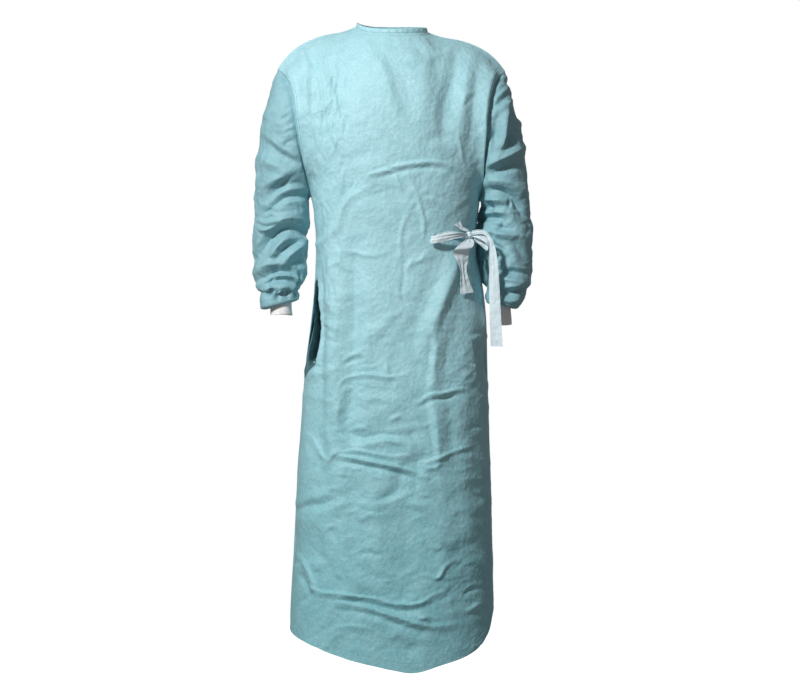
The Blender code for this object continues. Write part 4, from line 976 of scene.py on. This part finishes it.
cuff_knit = knitted("cuff_knit")
for side, label, cuff in ((-1, "right", RIGHT_CUFF), (1, "left", LEFT_CUFF)):
    angles = np.linspace(0, 2 * math.pi, CUFF_RIBS * RIB_COLUMNS + 1)[None, :-1]
    share = np.linspace(0, 1, CUFF_ROWS + 1)[:, None]
    angles, share = np.broadcast_arrays(angles, share)
    rib = np.abs(np.cos(angles * CUFF_RIBS / 2)) ** 0.7 * RIB_HEIGHT - RIB_HEIGHT
    slack = 0.0012 * np.sin(angles * 3 + side) * np.sin(share * 4 + side) * smooth(share * 3)
    out = CUFF_FLARE * share + rib + slack
    ring = np.stack(
        [
            cuff.x - side * (CUFF_HALF_WIDTH + out) * np.cos(angles),
            cuff.y - (CUFF_HALF_DEPTH + out) * np.sin(angles),
            mix(cuff.top, cuff.bottom, share) + 0.0012 * share * np.sin(angles * 2 + side),
        ],
        axis=-1,
    )
    tube = shell(f"cuff_{label}_knit", ring[:, ::-side], KNIT, cuff_knit, tube=True)
    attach(tube, "root")
    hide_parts(f"cuff_{label}")


# Neck binding: a strip of the gown's cloth folded over the raw edge of the neck. It starts on the under
# back, goes round the neck and ends where the over back closes.
BAND_HEIGHT = 0.010
BAND_LEAN = 0.25
BINDING = 0.0020
BAND_ROWS = 10


def neck_way(steps):
    under_end, lap_end = UNDER_BACK_TURN, 1 + 7.5 / 24
    first = np.linspace(under_end, 1 + NECK_SHARE, steps // 4)
    middle = np.linspace(1 - NECK_SHARE, NECK_SHARE, steps // 2)
    last = np.linspace(2 - NECK_SHARE, lap_end, steps // 3)
    turns = np.concatenate([first, middle[1:], last[1:]])
    lap = np.zeros(len(turns))
    lap[-len(last):] = FLAP_LIFT * smooth((under_end + 1.8 / 24 - last) * 15)
    x, depth, z = shoulder_line(turns)
    line = np.stack([x, np.where(turns <= 1.0, MIDDLE[-1].front, MIDDLE[-1].back) * depth, z], axis=-1)
    out = unit(line * (1, 1, 0))
    return line + out * lap[:, None], out


line, out = neck_way(420)
up = unit(np.array([0, 0, 1.0]) - BAND_LEAN * out)
places = np.linspace(0, 1, BAND_ROWS + 1)[:, None, None]
round_edge = np.sin(math.pi * np.clip(places * 0.5 + 0.5, 0, 1)) ** 0.35
length = np.linspace(0, 1, len(line))[None, :, None]
wobble = 0.0004 * np.sin(length * 210 + 2 * np.sin(length * 31)) * np.sin(math.pi * places)
outer = line[None] + up[None] * mix(0.0004, BAND_HEIGHT, places) + out[None] * (0.0008 * round_edge - 0.0008 + wobble)
binding = shell("neck_binding_strip", outer[:, ::-1], BINDING, gown_cloth)
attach(binding, "root")
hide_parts("neck_binding")


# Waist ties: paler strips of the same kind of cloth. The knot draws each strip together into pleats. Two
# loops and two ends leave it, and the root of the inner tie shows above it.
TIE_CLOTH = 0.0006
TIE_WIDTH = 0.025
TIE_THROAT = 0.008
KNOT_X = 0.155
KNOT_Z = -0.445
KNOT_OUT = 0.0090
KNOT_SIZE = (0.0085, 0.0085, 0.0078)
OnCloth = namedtuple("OnCloth", "x z lift width")
Free = namedtuple("Free", "x y z width turn")
LEFT_LOOP = [
    OnCloth(-0.0050, 0.0006, 0.0094, TIE_THROAT),
    OnCloth(-0.0250, -0.0020, 0.0150, 0.012),
    OnCloth(-0.0480, -0.0075, 0.0165, 0.016),
    OnCloth(-0.0680, -0.0120, 0.0145, 0.017),
    OnCloth(-0.0765, -0.0130, 0.0085, 0.015),
    OnCloth(-0.0700, -0.0100, 0.0035, 0.015),
    OnCloth(-0.0500, -0.0040, 0.0025, 0.016),
    OnCloth(-0.0280, 0.0010, 0.0040, 0.012),
    OnCloth(-0.0100, 0.0005, 0.0060, TIE_THROAT),
]
SHORT_END = [
    OnCloth(-0.0015, -0.0088, 0.0100, TIE_THROAT),
    OnCloth(-0.0110, -0.0200, 0.0150, 0.022),
    OnCloth(-0.0190, -0.0330, 0.0165, 0.027),
    OnCloth(-0.0180, -0.0400, 0.0085, 0.026),
    OnCloth(-0.0130, -0.0560, 0.0060, 0.018),
    OnCloth(-0.0105, -0.0760, 0.0050, 0.010),
    OnCloth(-0.0085, -0.0950, 0.0060, 0.013),
    OnCloth(-0.0035, -0.1240, 0.0055, 0.0225),
]
TIE_ROOT = [
    OnCloth(-0.0190, 0.0240, 0.0013, 0.015),
    OnCloth(-0.0130, 0.0165, 0.0025, 0.010),
    OnCloth(-0.0020, 0.0088, 0.0080, 0.007),
]
RIGHT_LOOP = [
    Free(0.0086, -0.0026, 0.0010, TIE_THROAT, 0.1),
    Free(0.0220, -0.0080, -0.0020, 0.013, 0.0),
    Free(0.0360, -0.0110, -0.0080, 0.019, 0.1),
    Free(0.0430, -0.0080, -0.0160, 0.022, 0.3),
    Free(0.0420, -0.0010, -0.0220, 0.021, 0.4),
    Free(0.0250, 0.0020, -0.0150, 0.013, 0.2),
    Free(0.0094, 0.0010, -0.0050, TIE_THROAT, 0.1),
]
LONG_END = [
    Free(0.0059, -0.0061, 0.0043, TIE_THROAT, -0.2),
    Free(0.0200, -0.0130, 0.0060, 0.009, 0.0),
    Free(0.0320, -0.0170, 0.0040, 0.008, 0.3),
    Free(0.0410, -0.0190, -0.0050, 0.007, 1.0),
    Free(0.0470, -0.0195, -0.0210, 0.010, 1.4),
    Free(0.0490, -0.0190, -0.0350, 0.0145, 1.5),
    Free(0.0510, -0.0185, -0.0660, 0.0185, 1.55),
    Free(0.0535, -0.0180, -0.1390, 0.0225, 1.6),
    Free(0.0575, -0.0180, -0.2340, TIE_WIDTH, 1.6),
]
ACROSS_TIE = 14


def curve_through(stations, count):
    """Evenly spread points on a smooth curve through a few stations."""
    stations = np.array(stations, float)
    gaps = np.linalg.norm(np.diff(stations[:, :3], axis=0), axis=1)
    places = np.concatenate([[0], np.cumsum(gaps)])
    Row = namedtuple("Row", ["place"] + [f"value{i}" for i in range(stations.shape[1])])
    rows = [Row(p, *values) for p, values in zip(places, stations)]
    wanted = np.linspace(0, places[-1], count)
    return np.stack([read(rows, f"value{i}", wanted) for i in range(stations.shape[1])], axis=1)


def at_turn(points, ways, column, z, lift):
    """A place on a panel at a column of its grid and a height, moved out, and the cloth's direction there."""
    low = int(np.clip(column, 0, points.shape[1] - 2))
    line = mix(points[:, low], points[:, low + 1], column - low)
    facing = mix(ways[:, low], ways[:, low + 1], column - low)
    out = unit(np.array([np.interp(z, line[:, 2], facing[:, k]) for k in range(3)]))
    return np.array([np.interp(z, line[:, 2], line[:, k]) for k in range(3)]) + out * lift, out


# What a tie rests on has no small creases
front_soft = softened(front_grid, 12)
front_out = body_normals(turn_of_front, rise_of_front, 0)
back_soft = softened(under_grid, 6)
back_out = body_normals(under, under_rise, 1)


def on_front(x, z, lift):
    columns = np.arange(front_soft.shape[1])
    row = int(np.argmin(np.abs(front_soft[:, front_soft.shape[1] // 2, 2] - z)))
    rows = slice(max(row - 14, 0), row + 15)
    places = []
    for column in columns[130:]:
        line = front_soft[rows, column]
        places.append(np.interp(z, line[:, 2], line[:, 0]))
    column = float(np.interp(x, places, columns[130:]))
    return at_turn(front_soft, front_out, column, z, lift)[0]


tie_cloth = nonwoven("tie_cloth", (0.72, 0.83, 0.87), (0.58, 0.74, 0.80), 620)


def ribbon(name, edges, widths, finish, seed, flare=1.0):
    """A flat tie between its two edges. Where it is narrower than its cloth it lies in pleats."""
    edges = np.array(edges, float)
    chance = np.random.default_rng(seed)
    v = np.linspace(0, 1, ACROSS_TIE + 1)[None, :]
    along = np.linspace(0, 1, len(edges))[:, None]
    grid_points = mix(edges[:, :1], edges[:, 1:], v[..., None])
    ways = unit(np.cross(np.gradient(edges.mean(axis=1), axis=0), edges[:, 1] - edges[:, 0]))
    gathered = np.clip(1 - np.array(widths)[:, None] / TIE_WIDTH, 0, 0.8)
    shift = chance.uniform(0, 6, 3)
    pleats = np.sin(v * 6.28 * 2 + shift[0] + along * 1.5) + 0.5 * np.sin(v * 6.28 * 3.1 + shift[1] + along * 3)
    curl = (2 * v - 1) ** 2 * 0.0012 * np.sin(along * 9 + shift[2])
    crumple = 0.0003 * np.sin(along * 60 + 4 * np.sin(v * 5 + shift[0])) * np.sin(v * 9 + shift[1])
    height = 0.0013 * pleats * gathered + flare * curl + crumple
    outer = grid_points + ways[:, None] * height[..., None]
    made = shell(name, outer, TIE_CLOTH, finish)
    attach(made, "root")
    return made


def declare_tie(node_name):
    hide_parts(node_name)


knot = on_front(KNOT_X, KNOT_Z, KNOT_OUT)
for name, stations, lean, tilt, count, seed in (
    ("loop_left", LEFT_LOOP, (0.15, 1.0), 0.0, 90, 31),
    ("end_short", SHORT_END, (1.0, 0.15), 0.35, 90, 32),
    ("tie_root", TIE_ROOT, (0.85, 0.55), 0.0, 24, 33),
):
    edges, widths = [], []
    for x, z, lift, width in curve_through(stations, count):
        edges.append([])
        widths.append(width)
        for side in (-0.5, 0.5):
            spot = (KNOT_X + x + lean[0] * width * side, KNOT_Z + z + lean[1] * width * side)
            edges[-1].append(on_front(*spot, lift + tilt * width * (side + 0.5)))
    ribbon(f"{name}_tie", edges, widths, tie_cloth, seed)
    declare_tie(name)

for name, stations, count, seed in (("loop_right", RIGHT_LOOP, 80, 34), ("end_long", LONG_END, 150, 35)):
    edges, widths = [], []
    for x, y, z, width, turned in curve_through(stations, count):
        across_way = np.array([math.sin(turned), -0.15 * math.sin(turned) - 0.1 * math.cos(turned), math.cos(turned)])
        centre = knot + (x, y, z)
        widths.append(width)
        edges.append([centre - across_way * width / 2, centre + across_way * width / 2])
    ribbon(f"{name}_tie", edges, widths, tie_cloth, seed)
    declare_tie(name)

# The knot itself: one turn of the tie drawn tight over the others, so its folds run over the lump
u = np.linspace(0, 2 * math.pi, 73)[None, :-1]
w = np.linspace(0.02, math.pi - 0.02, 41)[:, None]
u, w = np.broadcast_arrays(u, w)
band = np.sin(u * 2 + np.cos(w) * 7) * 0.10 + np.sin(u * 5 - np.cos(w) * 9) * 0.05
size = 1.0 + band * np.sin(w) ** 0.5
lump = np.stack(
    [
        knot[0] + KNOT_SIZE[0] * size * np.sin(w) * np.cos(u),
        knot[1] + KNOT_SIZE[1] * size * np.sin(w) * np.sin(u),
        knot[2] + KNOT_SIZE[2] * size * np.cos(w),
    ],
    axis=-1,
)
knot_cloth = shell("knot_lump", lump[::-1], 0.0012, tie_cloth, tube=True)
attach(knot_cloth, "root")
declare_tie("knot")

# The over back's tie comes round the wearer's left side to the knot
STRAP_START, STRAP_END, STRAP_Z = 1.215, 0.855, -0.455
edges, widths = [], []
for place in np.linspace(STRAP_START, STRAP_END, 110):
    z = mix(STRAP_Z, KNOT_Z, smooth((1.0 - place) / (1.0 - STRAP_END)))
    lift = mix(0.0020, FLAP_LIFT + 0.0020, smooth((place - 1.10) / 0.07))
    lift += 0.0035 * smooth((0.93 - place) / 0.05)
    half = 0.0125 - 0.008 * smooth((0.99 - place) / 0.12)
    widths.append(2 * half)
    if place > 1.0:
        column = (place - 1.0) / (UNDER_BACK_TURN - 1.0) * (back_soft.shape[1] - 1)
        edges.append([at_turn(back_soft, back_out, column, z + side * half, lift)[0] for side in (-1, 1)])
    else:
        column = np.interp(place, turn_of_front[0], np.arange(FRONT_COLUMNS + 1))
        edges.append([at_turn(front_soft, front_out, column, z + side * half, lift)[0] for side in (-1, 1)])
strap = ribbon("waist_strap_tie", edges, widths, tie_cloth, 36, 0.4)
declare_tie("waist_strap")


# Stitches: each seam and hem is held by a row of small machine stitches in thread a little paler than
# the cloth. They lie a few millimetres inside the edge, on the outside of the cloth.
STITCH_LENGTH = 0.0030
STITCH_PITCH = 0.0042
THREAD_RADIUS = 0.00035
THREAD_SIDES = 5


def stitches_along(finish):
    """A tree that lays short rods of thread end to end along each line of its mesh."""
    tree = bpy.data.node_groups.new("stitches_along_seams", "GeometryNodeTree")
    tree.interface.new_socket("Seams", in_out="INPUT", socket_type="NodeSocketGeometry")
    for name in ("Stitch Length", "Pitch", "Thread Radius"):
        tree.interface.new_socket(name, in_out="INPUT", socket_type="NodeSocketFloat")
    tree.interface.new_socket("Stitches", in_out="OUTPUT", socket_type="NodeSocketGeometry")
    given = node(tree, "NodeGroupInput", (-900, 0))
    result = node(tree, "NodeGroupOutput", (900, 0))
    lines = node(tree, "GeometryNodeMeshToCurve", (-650, 150))
    spots = node(tree, "GeometryNodeResampleCurve", (-400, 150), mode="LENGTH")
    along = node(tree, "GeometryNodeInputTangent", (-650, -100))
    turned = node(tree, "FunctionNodeAlignRotationToVector", (-400, -100), axis="Z")
    rod = node(tree, "GeometryNodeMeshCylinder", (-400, -350))
    rod.inputs["Vertices"].default_value = THREAD_SIDES
    placed = node(tree, "GeometryNodeInstanceOnPoints", (-100, 100))
    real = node(tree, "GeometryNodeRealizeInstances", (200, 100))
    threaded = node(tree, "GeometryNodeSetMaterial", (500, 100))
    threaded.inputs["Material"].default_value = finish
    for start, end in (
        (given.outputs["Seams"], lines.inputs["Mesh"]),
        (lines.outputs["Curve"], spots.inputs["Curve"]),
        (given.outputs["Pitch"], spots.inputs["Length"]),
        (given.outputs["Thread Radius"], rod.inputs["Radius"]),
        (given.outputs["Stitch Length"], rod.inputs["Depth"]),
        (along.outputs["Tangent"], turned.inputs["Vector"]),
        (spots.outputs["Curve"], placed.inputs["Points"]),
        (rod.outputs["Mesh"], placed.inputs["Instance"]),
        (turned.outputs["Rotation"], placed.inputs["Rotation"]),
        (placed.outputs["Instances"], real.inputs["Geometry"]),
        (real.outputs["Geometry"], threaded.inputs["Geometry"]),
        (threaded.outputs["Geometry"], result.inputs["Stitches"]),
    ):
        tree.links.new(start, end)
    return tree


seams = []
HEM_ROW, HEM_ROW_BACK, SEAM_COLUMN, FREE_EDGE_COLUMN, TOP_ROW = 4, 3, 3, 5, -5
for panel, hem_row, left_column, right_column in (
    (front_grid, HEM_ROW, SEAM_COLUMN, -1 - SEAM_COLUMN),
    (under_grid, HEM_ROW_BACK, SEAM_COLUMN, -1 - FREE_EDGE_COLUMN),
    (over_grid, HEM_ROW_BACK, FREE_EDGE_COLUMN, -1 - SEAM_COLUMN),
):
    on_top = panel + grid_normals(panel, False) * THREAD_RADIUS
    body_rows = slice(hem_row, TOP_ROW)
    seams.append(on_top[hem_row, left_column:right_column])
    seams.append(on_top[body_rows, left_column])
    seams.append(on_top[body_rows, right_column])
    seams.append(on_top[TOP_ROW, left_column:right_column])
for side, label in ((-1, "right"), (1, "left")):
    around_arm = sleeve_grids[side][:, ::-side]
    on_top = around_arm + grid_normals(around_arm, True) * THREAD_RADIUS
    for ring in (SLEEVE_RINGS - 4, SLEEVE_RINGS - 1):
        seams.append(np.concatenate([on_top[ring], on_top[ring, :1]]))
binding_top = outer + out[None] * THREAD_RADIUS
seams.append(binding_top[BAND_ROWS // 5])
thread, thread_tree, thread_shader = material("sewing_thread", (0.33, 0.58, 0.63), 0.6, 0.1)
twist = node(thread_tree, "ShaderNodeTexNoise", (-700, 0))
twist.inputs["Scale"].default_value = 1800
twist_place = node(thread_tree, "ShaderNodeTexCoord", (-900, 0))
twist_bump = node(thread_tree, "ShaderNodeBump", (-400, 0))
twist_bump.inputs["Distance"].default_value = 0.0002
thread_tree.links.new(twist_place.outputs["Object"], twist.inputs["Vector"])
thread_tree.links.new(twist.outputs["Fac"], twist_bump.inputs["Height"])
thread_tree.links.new(twist_bump.outputs["Normal"], thread_shader.inputs["Normal"])
seam_edges, seam_points = [], []
for line_points in seams:
    first = len(seam_points)
    seam_points += line_points.tolist()
    seam_edges += [(i, i + 1) for i in range(first, len(seam_points) - 1)]
seam_mesh = bpy.data.meshes.new("seam_stitches")
seam_mesh.from_pydata(seam_points, seam_edges, [])
stitches = bpy.data.objects.new("seam_stitches", seam_mesh)
bpy.context.scene.collection.objects.link(stitches)
sewn = stitches.modifiers.new("stitches", "NODES")
sewn.node_group = stitches_along(thread)
stitch_sizes = {"Stitch Length": STITCH_LENGTH, "Pitch": STITCH_PITCH, "Thread Radius": THREAD_RADIUS}
for item in sewn.node_group.interface.items_tree:
    if item.name in stitch_sizes:
        sewn[item.identifier] = stitch_sizes[item.name]
evaluated = stitches.evaluated_get(bpy.context.evaluated_depsgraph_get())
stitch_mesh = bpy.data.meshes.new_from_object(evaluated)
stitches.modifiers.clear()
stitches.data = stitch_mesh
stitch_mesh.shade_smooth()
stitch_mesh.set_sharp_from_angle(angle=math.radians(50))
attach(stitches, "root")


# Floor: a plain sheet that looks white to the camera and throws only a little light back up. The gown
# hangs clear of it.
FLOOR_Z = -1.52
FLOOR_HALF_WIDTH, FLOOR_FRONT, FLOOR_REAR = 1.75, -0.9, 1.9
corners = [(-FLOOR_HALF_WIDTH, FLOOR_FRONT), (FLOOR_HALF_WIDTH, FLOOR_FRONT)]
corners += [(FLOOR_HALF_WIDTH, FLOOR_REAR), (-FLOOR_HALF_WIDTH, FLOOR_REAR)]
floor_mesh = bpy.data.meshes.new("floor")
floor_mesh.from_pydata([(x, y, FLOOR_Z) for x, y in corners], [], [(0, 1, 2, 3)])
paper, paper_tree, paper_shader = material("floor_paper", (0.30, 0.30, 0.30), 0.9, 0.0)
paper_shader.inputs["Emission Color"].default_value = (1.0, 1.0, 1.0, 1)
seen_floor = node(paper_tree, "ShaderNodeLightPath", (-300, 0))
paper_tree.links.new(seen_floor.outputs["Is Camera Ray"], paper_shader.inputs["Emission Strength"])
floor_mesh.materials.append(paper)
floor = bpy.data.objects.new("floor", floor_mesh)
bpy.context.scene.collection.objects.link(floor)


# Studio light: a big soft source from the front at the left, a weaker one from above, and pale air.
def soft_light(name, place, aim, size, power):
    data = bpy.data.lights.new(name, "AREA")
    data.shape = "RECTANGLE"
    data.size, data.size_y = size
    data.energy = power
    lamp = bpy.data.objects.new(name, data)
    lamp.location = place
    way = np.array(aim, float) - np.array(place, float)
    flat = math.hypot(way[0], way[1])
    lamp.rotation_euler = (math.atan2(flat, -way[2]), 0, math.atan2(way[1], way[0]) - math.radians(90))
    bpy.context.scene.collection.objects.link(lamp)
    return lamp


soft_light("key_light", (-1.65, -2.7, 1.50), (0, 0, -0.30), (0.4, 0.4), 142)
soft_light("back_light", (0.5, 2.9, 0.6), (0, 0, -0.7), (1.2, 1.2), 26)
world = bpy.data.worlds.new("pale_air")
world.use_nodes = True
air = world.node_tree.nodes["Background"]
air.inputs["Color"].default_value = (1.0, 1.0, 1.0, 1)
air.inputs["Strength"].default_value = 0.18
seen = node(world.node_tree, "ShaderNodeBackground", (0, 300))
seen.inputs["Color"].default_value = (1.0, 1.0, 1.0, 1)
seen.inputs["Strength"].default_value = 1.0
kind = node(world.node_tree, "ShaderNodeLightPath", (0, 600))
both = node(world.node_tree, "ShaderNodeMixShader", (300, 300))
world.node_tree.links.new(kind.outputs["Is Camera Ray"], both.inputs[0])
world.node_tree.links.new(air.outputs[0], both.inputs[1])
world.node_tree.links.new(seen.outputs[0], both.inputs[2])
world.node_tree.links.new(both.outputs[0], world.node_tree.nodes["World Output"].inputs["Surface"])
bpy.context.scene.world = world
bpy.context.scene.view_settings.view_transform = "Standard"
